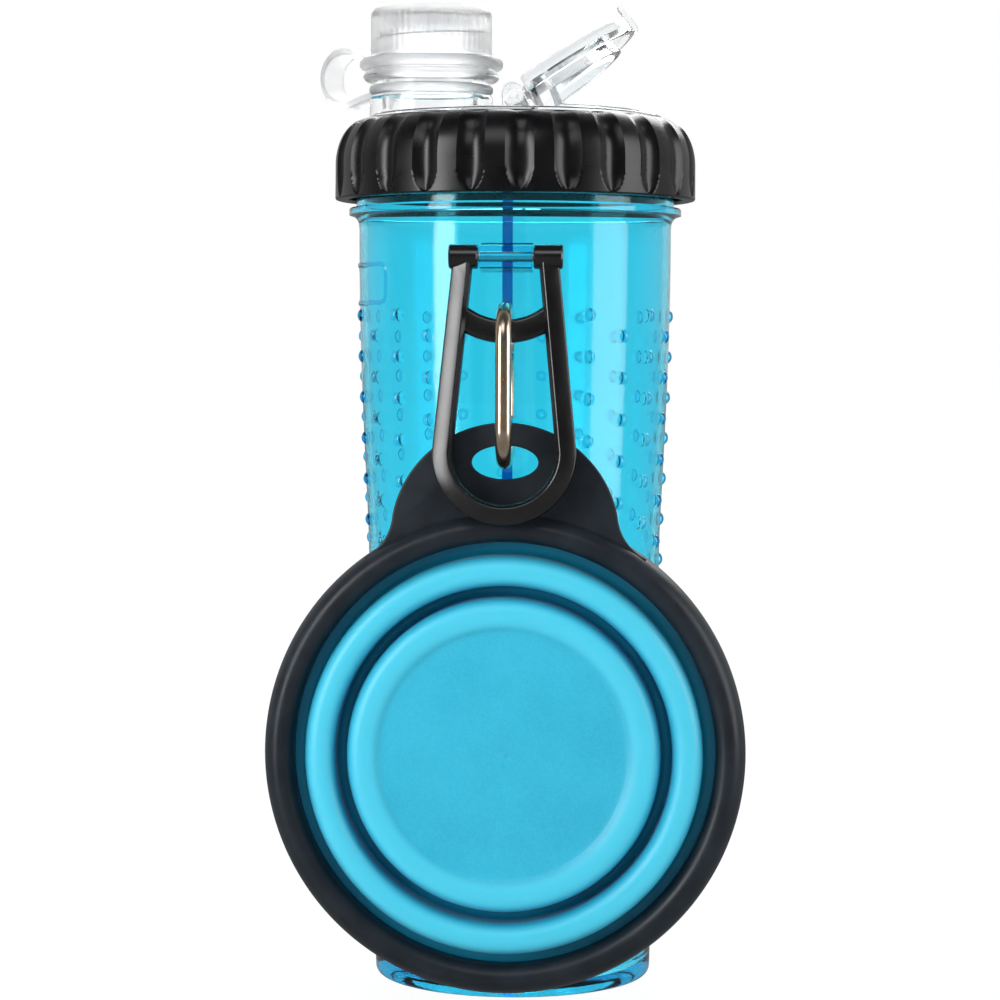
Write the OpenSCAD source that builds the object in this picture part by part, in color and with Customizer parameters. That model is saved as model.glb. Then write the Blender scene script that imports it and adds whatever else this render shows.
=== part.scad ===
// Travel water bottle for a dog: a two-chamber tumbler with a screw collar, a flip door, a capped
// spout, and a handle that carries a collapsible cup on a spring clip.
// The origin is the centre of the foot. +Z is up, -Y is the side that carries the handle and the
// cup, -X is the spout and +X is the flip door. Everything is in millimetres.

/* [Tumbler] */
// Outer radius just above the foot
foot_r = 36.1; // [34:0.1:37.5]
// Outer radius at the waist
waist_r = 38.5; // [37.6:0.1:39.5]
// Outer radius under the flange
shoulder_r = 41.2; // [40:0.1:41.6]
// Height of the waist
waist_z = 117; // [90:1:130]
// Height of the shoulder
shoulder_z = 196; // [188:0.5:204]
// Wall thickness
wall = 2.0; // [1.4:0.1:2.6]
// Floor thickness
floor_t = 3.0; // [2:0.1:5]
// Thickness of the partition between the chambers
divider_t = 2.6; // [1.8:0.1:4]
// How far the flange stands out from the wall
flange_out = 2.7; // [2:0.1:3]
// Flange thickness
flange_t = 1.8; // [1.2:0.1:3]
// How far the threaded neck stands out past the shoulder
neck_out = 0.8; // [0.5:0.1:1.4]
// Height of the neck above the flange
neck_h = 17.4; // [15:0.1:20]

/* [Screw collar] */
// Thickness of the collar's skirt outside its bore
collar_wall = 3.4; // [2.8:0.1:5.8]
// Height of the collar's skirt and shoulder together
collar_h = 21.3; // [20:0.1:24]
// Thickness of the web that holds the lid down
collar_web = 2.2; // [1.6:0.1:3]
// Space between the lid's raised centre and the collar
opening_gap = 0.6; // [0.4:0.1:1.6]
// Height of the rounded shoulder
shoulder_rise = 12; // [8:0.1:14]
// Number of flutes
flute_count = 24; // [12:1:30]
// Width of a flute
flute_w = 7; // [3:0.1:8]
// Depth of a flute
flute_depth = 1.3; // [0.6:0.1:1.6]

/* [Screw threads] */
// Rise of the neck thread in one turn
neck_lead = 8; // [6:0.5:10]
// How far a neck thread ridge stands out
neck_ridge = 1.6; // [1.2:0.1:1.8]
// Rise of the spout thread in one turn
spout_lead = 4; // [3:0.5:5]
// How far a spout thread ridge stands out
spout_ridge = 0.9; // [0.6:0.1:1.1]
// Play between a thread crest and the wall that it runs against
thread_play = 0.6; // [0.4:0.05:0.8]

/* [Lid] */
// Thickness of the gasket on the lip
gasket_t = 1.5; // [1:0.1:2.5]
// Thickness of the lid's flange
lid_flange_t = 2.2; // [1.6:0.1:3]
// How far the lid's flange stands out past the neck
lid_flange_out = 0.3; // [0.1:0.1:0.6]
// How far the lid's flange stands out past its raised centre
lid_ledge = 3.4; // [3.2:0.1:4.1]
// How far the raised centre stands above the flange
lid_rise = 3.3; // [2.6:0.1:5]
// Width of the ledge between the door opening and its lip
hole_ledge = 2; // [1:0.1:6]
// Half width of the land under the hinge
hinge_land = 6; // [5:0.1:8]
// Height of the lip round the door opening
door_rim_h = 1.1; // [0.8:0.1:1.6]

/* [Flip door] */
// How far the door's edge stays behind the edge of the lid's raised centre
door_inset = 2.9; // [2.3:0.1:4.9]
// Thickness of the door's top
door_t = 2.4; // [1.6:0.1:3.5]
// Depth of the door's skirt, top included
door_skirt = 4.4; // [3.6:0.1:5]
// Wall of the door's skirt
door_wall = 1.8; // [1.2:0.1:2.5]
// Radius of the hinge barrel
barrel_r = 3.0; // [2.6:0.1:3.4]
// Length of the door's barrel
barrel_l = 26; // [16:1:34]
// Length of each hinge ear
ear_l = 4; // [2.5:0.1:6]
// Height of the finger tab above the door
tab_lift = 3.6; // [2:0.1:5]
// Radius of the hinge pin
door_pin_r = 1.2; // [0.9:0.05:1.5]
// Angle at which the door stands open
door_open = 35; // [10:1:45]

/* [Spout and cap] */
// How far the spout's foot stays behind the edge of the lid's raised centre
spout_edge = 0.2; // [0.1:0.1:1]
// Outer radius of the spout's foot, under the tether
spout_foot_r = 16.3; // [15:0.1:16.4]
// Outer radius of the spout's neck
spout_r = 13.0; // [12:0.1:13.4]
// Wall of the spout
spout_wall = 1.8; // [1.4:0.1:2.4]
// Height of the spout above the lid
spout_h = 25.8; // [24:0.1:28]
// Height of the cap body
cap_h = 13.6; // [11:0.1:14]
// Outer radius of the cap body
cap_r = 16.0; // [15.8:0.1:16.8]
// Radius of the bead at the cap's foot
bead_r = 18.0; // [17.4:0.1:18.6]
// Height of the bead
bead_h = 2.9; // [2.4:0.1:3.2]
// Thickness of the cap's top
cap_top = 2.2; // [1.6:0.1:3]
// Thickness of the cap's liner
liner_t = 1.2; // [0.8:0.1:1.6]
// Number of ribs round the cap
cap_ribs = 60; // [24:4:72]

/* [Tether] */
// Height of the spout's foot, which the tether's lower ring sits on
spout_foot_h = 5.6; // [5:0.1:6]
// Height of the tether's lower ring
tether_ring_h = 2.4; // [1.8:0.1:2.6]
// Height of the tether's upper ring
tether_top_h = 3.0; // [2.4:0.1:3.2]
// Width of the tether's upper ring, measured outwards
tether_top_w = 3.4; // [2.4:0.1:3.8]
// Width of the strap
strap_w = 8.2; // [6:0.1:10]
// Thickness of the strap
strap_t = 1.8; // [1.2:0.1:2]
// Radius of the strap's loop, to its middle
loop_r = 7.3; // [6:0.1:8]
// Distance of the loop's centre from the spout's axis
loop_x = 27.7; // [27:0.1:32]
// Angle of the strap behind the spout's side
strap_turn = 35; // [0:1:45]

/* [Handle] */
// How far the handle's pin stands in front of the shoulder
pin_out = 6.8; // [6:0.1:8.8]
// Height of the handle's pin below the shoulder
pin_drop = 8.5; // [6:0.1:12]
// Radius of the pin
pin_r = 1.2; // [1:0.05:1.5]
// Half width of the lug on the tumbler
lug_half_w = 6.65; // [5:0.05:8]
// Radius of the knuckles
knuckle_r = 3.1; // [2.8:0.1:3.4]
// Length of a knuckle
knuckle_l = 7.3; // [5:0.1:9]
// Length from the pin to the centre of the lower bend
handle_l = 49.2; // [46:0.1:54]
// Radius of the lower bend, outside
bend_r = 17.9; // [17:0.1:19]
// Width of the handle's frame
frame_w = 5.1; // [4:0.1:6]
// Thickness of the handle's frame
frame_t = 4.4; // [3.5:0.1:4.6]
// Lean of the handle at rest
handle_lean = 7; // [7:0.1:12]
// Distance from the pin to the middle of the crossbar
crossbar_l = 18.8; // [16:0.1:22]
// Depth of the crossbar
crossbar_h = 5.9; // [4:0.1:5.9]
// Thickness of the crossbar
crossbar_t = 3.0; // [2:0.1:3.2]
// Bend radius of the crossbar
crossbar_bend_r = 18.2; // [15:0.1:30]

/* [Clip] */
// Thickness of the clip's wire
wire_d = 4.05; // [3:0.05:4.1]
// Outside width of the clip
clip_w = 20.05; // [19.5:0.05:21]
// Outside height of the clip
clip_h = 41.5; // [38:0.1:46]
// Offset of the clip outwards from the crossbar
clip_out = 0.9; // [0.5:0.1:1.5]
// Height of the gate's rivet above the clip's foot
rivet_rise = 13.4; // [12:0.1:15]
// Length of the gate from its rivet
gate_l = 15.4; // [13:0.1:18]
// Radius of the rivet
rivet_r = 0.7; // [0.5:0.05:0.9]

/* [Cup] */
// Outer radius of the cup's rim
rim_r = 60; // [56:0.5:64]
// Width of the rim
rim_w = 7.5; // [6:0.1:9]
// Depth of the rim
rim_depth = 9.5; // [8.5:0.1:10]
// How far the cup's back plane stands in front of the shoulder
cup_out = 2.3; // [1.8:0.1:2.8]
// Height of the cup's tab above the rim
tab_rise = 22.3; // [20:0.1:26]
// Radius of the tab's top
tab_r = 28.6; // [24:0.1:34]
// Thickness of the tab
tab_t = 2.4; // [1.8:0.1:2.4]
// Half width of the oval hole
hole_half_w = 8.3; // [6:0.1:10]
// Half height of the oval hole
hole_half_h = 4.2; // [4.1:0.1:5]
// Thickness of the soft wall
cup_wall = 1.6; // [1.2:0.1:2]
// Depth of a fold
fold_h = 12; // [10:0.1:12.5]
// Space between the rim and the outer fold
fold_gap = 3.15; // [2.8:0.05:3.6]
// Distance between the crests of the two folds
fold_pitch = 10.4; // [10:0.1:10.8]
// Width of a fold, outside
fold_w = 7.5; // [6.5:0.1:7.8]
// How far the flat base lies behind the folds' crests
base_dip = 1.8; // [1:0.1:3]

/* [Hidden] */
$fn = 96;
// Running clearance of a pin in its bore, and the play of parts that turn beside each other
run_gap = 0.05;
side_gap = 0.3;
seat_gap = 0.1;
eps = 0.01;

// Heights, from the foot up
pin_z = shoulder_z - pin_drop;
pin_y = shoulder_r + pin_out;
cup_back_y = shoulder_r + cup_out;
flange_z = shoulder_z + 3.8;
neck_z = flange_z + flange_t;
lip_z = neck_z + neck_h;
lid_z = lip_z + gasket_t;
web_z = lid_z + lid_flange_t + seat_gap;
collar_top = web_z + collar_web;
collar_z = collar_top - collar_h;
plate_z = lid_z + lid_flange_t + lid_rise;
spout_top = plate_z + spout_h;

// Tumbler
foot_edge = 2;
flange_r = shoulder_r + flange_out;
neck_r = shoulder_r + neck_out;
neck_bore = neck_r - wall;
cavity_foot_z = floor_t;
lug_r = 3.0;
lug_flare = 3;
lug_root_y = 1 - shoulder_r + wall;

// Collar
flute_foot = 0.6;
flute_phase = -86;

// Threads
ridge_root = 1.9;
ridge_crest = 1.1;
neck_crest_r = neck_r + neck_ridge;
collar_bore = neck_crest_r + thread_play;
collar_r = collar_bore + collar_wall;
neck_thread_z = neck_z + 5;
collar_thread_z = neck_thread_z + neck_lead / 4;
thread_starts = 2;
neck_turns = 0.9;
neck_ridge_angle = 24;
neck_ridge_pitch = 36;
spout_ridge_angle = 42;
spout_ridge_pitch = 60;
spout_crest_r = spout_r + spout_ridge;
cap_bore = spout_crest_r + thread_play / 2;
spout_ridge_root = 1.4;
spout_ridge_crest = 0.8;
spout_thread_z = spout_top - 10;
cap_thread_z = spout_thread_z + spout_lead / 2;
spout_turns = 1.75;

// Lid
lid_flange_r = neck_r + lid_flange_out;
collar_seat_r = lid_flange_r + side_gap;
collar_seat_z = lip_z + side_gap;
lid_r = lid_flange_r - lid_ledge;
collar_opening_r = lid_r + opening_gap;
shoulder_depth = collar_r - collar_opening_r;
spout_x = lid_r - spout_foot_r - spout_edge;
door_r = lid_r - door_inset;
lid_plate_t = 2.4;
lip_line_w = 1.4;
lip_line_r = door_r - door_wall - side_gap - lip_line_w;
lip_half_angle = 68;
door_hole_r = lip_line_r - hole_ledge;

// Door, drawn shut and then turned open
hinge_z = plate_z + 5;
door_x = barrel_r + 0.6;
door_top = plate_z + 5.6;
finger_w = 9;
finger_t = 1.5;
seal_clear = 0.6;
seal_w = 2.0;
seal_dip = 0.9;

// Spout and cap
foot_top = plate_z + spout_foot_h;
cap_top_z = spout_top + liner_t + cap_top + seat_gap;
cap_z = cap_top_z - cap_h;
cap_neck_r = cap_bore + 1.1;
bead_top = cap_z - tether_top_h - 2 * side_gap;
bead_z = bead_top - bead_h;
rib_r = 0.35;

// Tether
tether_in_r = spout_r + side_gap;
tether_out_r = spout_foot_r + 0.1;
tether_z = foot_top + side_gap;
tether_top_in = cap_neck_r + side_gap;
tether_top_out = tether_top_in + tether_top_w;
tether_top_z = bead_top + side_gap;
loop_z = (tether_z + tether_top_z + tether_top_h) / 2 + 0.9;
strap_low = tether_z + tether_ring_h / 2;
strap_high = tether_top_z + tether_top_h - strap_t / 2;
strap_gap = 0.02;
loop_steps = 32;

// Handle, in its own frame: the pin is the origin and the frame hangs down -Z
lug_gap = side_gap;
knuckle_x = lug_half_w + lug_gap;
pin_half_l = knuckle_x + knuckle_l - 0.6;
arm_top_half = 13.3;
arm_top_drop = 2.5;
crossbar_half_angle = 37;
crossbar_y = -(pin_y + crossbar_l * sin(handle_lean));
crossbar_z = pin_z - crossbar_l * cos(handle_lean);

// Clip: the centres of its two bends
wire_r = wire_d / 2;
clip_bend = clip_w / 2 - wire_r;
clip_y = crossbar_y - clip_out;
clip_top = crossbar_z + crossbar_h / 2 + side_gap - sqrt(pow(clip_bend - wire_r, 2) - pow(clip_out, 2));
clip_low = clip_top - (clip_h - clip_w);
clip_foot = clip_low - clip_w / 2;
rivet_z = clip_foot + rivet_rise;
gate_y = clip_y + clip_bend;
gate_top = rivet_z + gate_l;
tongue_t = 1.3;
slot_t = 1.9;
nose_gap = 0.4;
nose_len = 1.6;

// Cup: its axis runs along -Y, and depths are measured forwards from its back plane
tab_front = 6.2;
tab_back = tab_front - tab_t;
cup_tab_top = rim_r + tab_rise;
hole_drop = 9.9;
hole_y = cup_tab_top - hole_drop;
hole_top = clip_low - sqrt(pow(clip_bend - wire_r, 2) - pow(-cup_back_y - tab_back - clip_y, 2));
cup_z = hole_top + side_gap - hole_half_h - hole_y;
rim_in = rim_r - rim_w;
fold_half = fold_w / 2;
fold_in = fold_half - cup_wall;
crest_d = fold_h - fold_half;
fold_1_r = rim_in - fold_gap - fold_half;
fold_2_r = fold_1_r - fold_pitch;
groove_r = fold_1_r - fold_pitch / 2;
groove_in = fold_pitch / 2 - fold_half;
groove_out = groove_in + cup_wall;
base_d = fold_h - base_dip;
base_meet_angle = 180 - asin((fold_half - base_dip) / fold_half);
flange_d = 0.4;
rim_crest_r = rim_r - 4.2;
tab_foot_angle = 36;
tab_foot = [rim_r * sin(tab_foot_angle), rim_r * cos(tab_foot_angle)];
tab_flare = [[tab_r + 1.2, cup_tab_top - tab_r + 3], [tab_r - 0.6, cup_tab_top - tab_r + 7]];

// Outer radius of the tumbler at height z
function body_r(z) = z < waist_z
    ? foot_r + (waist_r - foot_r) * z / waist_z
    : waist_r + (shoulder_r - waist_r) * sin(90 * (z - waist_z) / (shoulder_z - waist_z));

// Points on a quarter of an ellipse, from angle a to angle b
function arc(cx, cy, rx, ry, a, b, n) =
    [for (i = [0:n]) [cx + rx * cos(a + (b - a) * i / n), cy + ry * sin(a + (b - a) * i / n)]];

// The angle at which a tangent from the point [x, z] meets the strap's loop
function tangent_angle(x, z, side) =
    atan2(z - loop_z, x - loop_x) - side * acos(loop_r / sqrt(pow(loop_x - x, 2) + pow(z - loop_z, 2)));

// The tumbler's outside from the foot to the lip, pulled in by t
function skin(t) = [for (z = [waist_z : (shoulder_z - waist_z) / 6 : shoulder_z + eps]) [body_r(z) - t, z]];

// An interrupted screw thread: short ridges that follow a helix, each tilted to its rise
module screw_ridges(root_r, crest_r, root_w, crest_w, lead, turns, ridge_angle, pitch_angle) {
    tilt = atan(lead / (2 * PI * crest_r));
    for (a = [0 : pitch_angle : 360 * turns])
        rotate([0, 0, a])
            translate([0, 0, lead * a / 360])
                rotate([tilt, 0, 0])
                    rotate([0, 0, -ridge_angle / 2])
                        rotate_extrude(angle = ridge_angle)
                            polygon([[root_r, -root_w / 2], [crest_r, -crest_w / 2],
                                [crest_r, crest_w / 2], [root_r, root_w / 2]]);
}

module bottle_blank() {
    rotate_extrude()
        polygon(concat(
            [[0, 0], [foot_r - foot_edge, 0]],
            arc(foot_r - foot_edge, foot_edge, foot_edge, foot_edge, -60, 0, 3),
            skin(0),
            arc(flange_r, shoulder_z + 0.4, flange_out, flange_z - shoulder_z - 0.4, 180, 90, 4),
            [[flange_r, neck_z], [neck_r, neck_z], [neck_r, lip_z - 0.4], [neck_r - 0.4, lip_z],
                [0, lip_z]]));
}

module bottle_cavity() {
    rotate_extrude()
        polygon(concat(
            [[0, cavity_foot_z], [body_r(cavity_foot_z) - wall - 3, cavity_foot_z]],
            arc(body_r(cavity_foot_z + 3) - wall - 3, cavity_foot_z + 3, 3, 3, -60, 0, 3),
            skin(wall),
            [[neck_bore, flange_z], [neck_bore, lip_z + 1], [0, lip_z + 1]]));
}

module handle_lug() {
    difference() {
        union() {
            translate([-lug_half_w, -pin_y, pin_z])
                rotate([0, 90, 0])
                    cylinder(r = lug_r, h = 2 * lug_half_w);
            translate([-lug_half_w, 0, 0])
                rotate([90, 0, 90])
                    linear_extrude(2 * lug_half_w)
                        polygon([[-pin_y, pin_z - lug_r], [-pin_y, pin_z + lug_r],
                            [lug_root_y, pin_z + lug_r + lug_flare],
                            [lug_root_y, pin_z - lug_r - lug_flare]]);
        }
        translate([-lug_half_w - 1, -pin_y, pin_z])
            rotate([0, 90, 0])
                cylinder(r = pin_r + run_gap, h = 2 * lug_half_w + 2);
    }
}

module bottle_shell() {
    color("deepskyblue", 0.5)
        difference() {
            union() {
                bottle_blank();
                handle_lug();
                for (s = [0:thread_starts - 1])
                    rotate([0, 0, s * 360 / thread_starts])
                        translate([0, 0, neck_thread_z])
                            screw_ridges(neck_r - 0.5, neck_crest_r, ridge_root, ridge_crest, neck_lead,
                                neck_turns, neck_ridge_angle, neck_ridge_pitch);
            }
            bottle_cavity();
        }
}

module divider_wall() {
    color("deepskyblue", 0.5)
        intersection() {
            bottle_cavity();
            translate([-divider_t / 2, -shoulder_r - 2, cavity_foot_z])
                cube([divider_t, 2 * shoulder_r + 4, lip_z - cavity_foot_z]);
        }
}

module chamber_gasket() {
    color("white")
        translate([0, 0, lip_z]) {
            difference() {
                cylinder(r = neck_r - 0.2, h = gasket_t);
                translate([0, 0, -1])
                    cylinder(r = neck_bore - 1, h = gasket_t + 2);
            }
            intersection() {
                cylinder(r = neck_bore, h = gasket_t);
                translate([-divider_t / 2 - 0.4, -neck_bore, 0])
                    cube([divider_t + 0.8, 2 * neck_bore, gasket_t]);
            }
        }
}

module collar_blank() {
    rotate_extrude()
        polygon(concat(
            [[collar_bore, collar_z], [collar_r - 0.8, collar_z], [collar_r, collar_z + 0.8]],
            arc(collar_r - shoulder_depth, collar_top - shoulder_rise, shoulder_depth, shoulder_rise,
                0, 90, 9),
            [[collar_opening_r, web_z], [collar_seat_r, web_z], [collar_seat_r, collar_seat_z],
                [collar_bore, collar_seat_z - collar_bore + collar_seat_r]]));
}

// One flute: an upright scoop that runs out over the shoulder
module flute() {
    scoop_r = (pow(flute_w / 2, 2) + flute_depth * flute_depth) / (2 * flute_depth);
    translate([collar_r - flute_depth + scoop_r, 0, collar_z + flute_foot])
        cylinder(r = scoop_r, h = collar_h);
}

module collar_ring() {
    color("dimgray")
        union() {
            difference() {
                collar_blank();
                for (i = [0:flute_count - 1])
                    rotate([0, 0, flute_phase + i * 360 / flute_count])
                        flute();
            }
            for (s = [0:thread_starts - 1])
                rotate([0, 0, s * 360 / thread_starts])
                    translate([0, 0, collar_thread_z])
                        screw_ridges(collar_bore + 0.5, neck_r + thread_play, ridge_root, ridge_crest,
                            neck_lead, neck_turns, neck_ridge_angle, neck_ridge_pitch);
        }
}

module hinge_ear(side) {
    mirror([0, side < 0 ? 1 : 0, 0])
        translate([0, barrel_l / 2 + side_gap, 0])
            difference() {
                union() {
                    translate([0, ear_l, hinge_z])
                        rotate([90, 0, 0])
                            cylinder(r = barrel_r, h = ear_l);
                    translate([-barrel_r + 0.4, 0, plate_z - 1])
                        cube([2 * barrel_r - 0.8, ear_l, hinge_z - plate_z + 1]);
                }
                translate([0, ear_l + 1, hinge_z])
                    rotate([90, 0, 0])
                        cylinder(r = door_pin_r + run_gap, h = ear_l + 2);
            }
}

module spout_blank() {
    rotate_extrude()
        polygon([[0, plate_z - 1], [spout_foot_r, plate_z - 1], [spout_foot_r, foot_top - 0.6],
            [spout_foot_r - 0.6, foot_top], [spout_r, foot_top], [spout_r, spout_top - 0.4],
            [spout_r - 0.4, spout_top], [0, spout_top]]);
}

module door_lip() {
    rotate([0, 0, -lip_half_angle])
        rotate_extrude(angle = 2 * lip_half_angle)
            translate([lip_line_r, plate_z - 1])
                square([lip_line_w, door_rim_h + 1]);
}

module lid_plate() {
    color("whitesmoke", 0.4)
        difference() {
            union() {
                translate([0, 0, lid_z])
                    cylinder(r = lid_flange_r, h = lid_flange_t);
                translate([0, 0, lid_z])
                    cylinder(r = lid_r, h = plate_z - lid_z);
                door_lip();
                hinge_ear(1);
                hinge_ear(-1);
                translate([-spout_x, 0, 0]) {
                    spout_blank();
                    translate([0, 0, spout_thread_z])
                        screw_ridges(spout_r - 0.5, spout_crest_r, spout_ridge_root, spout_ridge_crest,
                            spout_lead, spout_turns, spout_ridge_angle, spout_ridge_pitch);
                }
            }
            translate([-spout_x, 0, lid_z - 1])
                cylinder(r = spout_r - spout_wall, h = spout_top - lid_z + 2);
            // The shell under the raised plate, then the door opening
            translate([0, 0, lid_z - 1])
                intersection() {
                    cylinder(r = lid_r - 3, h = plate_z - lid_z + 1 - lid_plate_t);
                    translate([hinge_land, -lid_r, 0])
                        cube([lid_r, 2 * lid_r, plate_z]);
                }
            intersection() {
                translate([0, 0, lid_z - 1])
                    cylinder(r = door_hole_r, h = plate_z - lid_z + 2);
                translate([hinge_land, -lid_r, lid_z - 1])
                    cube([lid_r, 2 * lid_r, plate_z]);
            }
        }
}

module door_hinge_pin() {
    color("silver")
        translate([0, barrel_l / 2 + side_gap + ear_l - 0.3, hinge_z])
            rotate([90, 0, 0])
                cylinder(r = door_pin_r, h = barrel_l + 2 * (side_gap + ear_l - 0.3));
}

module opened() {
    translate([0, 0, hinge_z])
        rotate([0, -door_open, 0])
            translate([0, 0, -hinge_z])
                children();
}

module half_disc(r, x, z, h) {
    intersection() {
        translate([0, 0, z])
            cylinder(r = r, h = h);
        translate([x, -r - 1, z - 1])
            cube([r, 2 * r + 2, h + 2]);
    }
}

module flip_door() {
    color("whitesmoke", 0.4)
        opened()
            difference() {
                union() {
                    difference() {
                        half_disc(door_r, door_x, door_top - door_skirt, door_skirt);
                        half_disc(door_r - door_wall, door_x + door_wall, door_top - door_skirt - 1,
                            door_skirt - door_t + 1);
                    }
                    translate([0, barrel_l / 2, hinge_z])
                        rotate([90, 0, 0])
                            cylinder(r = barrel_r, h = barrel_l);
                    translate([0, -barrel_l / 2, door_top - door_t])
                        cube([door_x + 1, barrel_l, door_t - 0.2]);
                    translate([door_r - finger_t / 3, -finger_w / 2, door_top - door_skirt])
                        cube([finger_t, finger_w, door_skirt + tab_lift]);
                }
                translate([0, barrel_l / 2 + 1, hinge_z])
                    rotate([90, 0, 0])
                        cylinder(r = door_pin_r + run_gap, h = barrel_l + 2);
            }
}

module door_seal() {
    seal_x = hinge_land + 2;
    seal_h = door_top - door_t - plate_z + seal_dip;
    color("white", 0.6)
        opened()
            difference() {
                half_disc(door_hole_r - seal_clear, seal_x, plate_z - seal_dip, seal_h);
                half_disc(door_hole_r - seal_clear - seal_w, seal_x + seal_w,
                    plate_z - seal_dip - 1, seal_h);
            }
}

module on_spout() {
    translate([-spout_x, 0, 0])
        children();
}

module spout_cap() {
    color("white", 0.7)
        on_spout()
            union() {
                difference() {
                    union() {
                        rotate_extrude()
                            polygon(concat(
                                [[0, bead_z], [bead_r - 0.6, bead_z], [bead_r, bead_z + 0.6],
                                    [bead_r, bead_top - 0.8], [bead_r - 0.8, bead_top],
                                    [cap_neck_r, bead_top], [cap_neck_r, cap_z], [cap_r, cap_z]],
                                arc(cap_r - 3, cap_top_z - 3, 3, 3, 0, 90, 5),
                                [[0, cap_top_z]]));
                        for (i = [0:cap_ribs - 1])
                            rotate([0, 0, i * 360 / cap_ribs])
                                translate([cap_r, 0, cap_z])
                                    cylinder(r = rib_r, h = cap_h - 3.4, $fn = 16);
                    }
                    translate([0, 0, bead_z - 1])
                        cylinder(r = cap_bore, h = cap_top_z - cap_top - bead_z + 1);
                }
                translate([0, 0, cap_thread_z])
                    screw_ridges(cap_bore + 0.4, spout_r + thread_play / 2, spout_ridge_root,
                        spout_ridge_crest, spout_lead, spout_turns, spout_ridge_angle, spout_ridge_pitch);
            }
}

module cap_liner() {
    color("gainsboro")
        on_spout()
            translate([0, 0, spout_top + seat_gap])
                cylinder(r = cap_bore - 0.1, h = liner_t - eps);
}

module tether_base_ring() {
    color("white", 0.7)
        on_spout()
            translate([0, 0, tether_z])
                difference() {
                    cylinder(r = tether_out_r, h = tether_ring_h);
                    translate([0, 0, -1])
                        cylinder(r = tether_in_r, h = tether_ring_h + 2);
                }
}

module tether_top_ring() {
    color("white", 0.7)
        on_spout()
            translate([0, 0, tether_top_z])
                difference() {
                    cylinder(r = tether_top_out, h = tether_top_h);
                    translate([0, 0, -1])
                        cylinder(r = tether_top_in, h = tether_top_h + 2);
                }
}

// The strap's outline: an arm from the lower ring, a hoop, and an arm to the upper ring
module strap_outline() {
    low = [tether_out_r - 1, strap_low];
    high = [tether_top_out - 1, strap_high];
    low_a = tangent_angle(low[0], low[1], -1);
    high_a = tangent_angle(high[0], high[1], 1);
    low_n = [cos(low_a), sin(low_a)] * strap_t / 2;
    high_n = [cos(high_a), sin(high_a)] * strap_t / 2;
    polygon(concat(
        [low + low_n],
        arc(loop_x, loop_z, loop_r + strap_t / 2, loop_r + strap_t / 2, low_a, high_a, loop_steps),
        [high + high_n, high - high_n],
        arc(loop_x, loop_z, loop_r - strap_t / 2, loop_r - strap_t / 2, high_a, low_a, loop_steps),
        [low - low_n]));
}

module tether_strap() {
    color("white", 0.7)
        on_spout()
            rotate([0, 0, 180 - strap_turn])
                difference() {
                    translate([0, strap_w / 2, 0])
                        rotate([90, 0, 0])
                            linear_extrude(strap_w)
                                strap_outline();
                    translate([0, 0, tether_z - 2])
                        cylinder(r = tether_out_r + strap_gap, h = tether_ring_h + 3);
                    translate([0, 0, tether_top_z - 2])
                        cylinder(r = tether_top_out + strap_gap, h = tether_top_h + 4);
                }
}

module at_pin() {
    translate([0, -pin_y, pin_z])
        rotate([-handle_lean, 0, 0])
            children();
}

module frame_outline(inset) {
    half = arm_top_half - inset;
    r = bend_r - inset;
    translate([0, -handle_l])
        circle(r = r);
    polygon([[-half, -arm_top_drop], [half, -arm_top_drop], [r, -handle_l + 2], [r, -handle_l],
        [-r, -handle_l], [-r, -handle_l + 2]]);
}

module handle() {
    color("dimgray")
        at_pin()
            difference() {
                union() {
                    difference() {
                        union() {
                            rotate([90, 0, 0])
                                translate([0, 0, -frame_t / 2])
                                    linear_extrude(frame_t)
                                        frame_outline(0);
                            for (side = [-1, 1])
                                translate([side * (knuckle_x + knuckle_l / 2) - knuckle_l / 2, 0, 0])
                                    rotate([0, 90, 0])
                                        cylinder(r = knuckle_r, h = knuckle_l);
                            for (side = [-1, 1])
                                translate([side * (arm_top_half - frame_w / 2) - frame_w / 2, -frame_t / 2,
                                        -arm_top_drop - 1])
                                    cube([frame_w, frame_t, arm_top_drop + 1]);
                        }
                        rotate([90, 0, 0])
                            translate([0, 0, -frame_t / 2 - 1])
                                linear_extrude(frame_t + 2)
                                    frame_outline(frame_w);
                        translate([-knuckle_x, -knuckle_r - 1, -knuckle_r - 2])
                            cube([2 * knuckle_x, 2 * knuckle_r + 2, 2 * knuckle_r + 3]);
                    }
                    translate([0, 0, crossbar_bend_r - crossbar_l])
                        rotate([-90, 0, 0])
                            rotate([0, 0, 90 - crossbar_half_angle])
                                rotate_extrude(angle = 2 * crossbar_half_angle)
                                    translate([crossbar_bend_r, 0]) {
                                        square([crossbar_h - crossbar_t, crossbar_t], center = true);
                                        for (side = [-1, 1])
                                            translate([side * (crossbar_h - crossbar_t) / 2, 0])
                                                circle(r = crossbar_t / 2);
                                    }
                }
                translate([-pin_half_l, 0, 0])
                    rotate([0, 90, 0])
                        cylinder(r = pin_r + run_gap / 2, h = 2 * pin_half_l);
            }
}

module handle_pin() {
    color("silver")
        translate([-pin_half_l + seat_gap, -pin_y, pin_z])
            rotate([0, 90, 0])
                cylinder(r = pin_r, h = 2 * (pin_half_l - seat_gap));
}

// The clip's bends, seen along X, with the wire's centre in the plane x = 0
module wire_bend(z, up) {
    translate([0, clip_y, z])
        rotate([0, 90, 0])
            rotate([0, 0, up ? 90 : -90])
                rotate_extrude(angle = 180)
                    translate([clip_bend, 0])
                        circle(r = wire_r);
}

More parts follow.
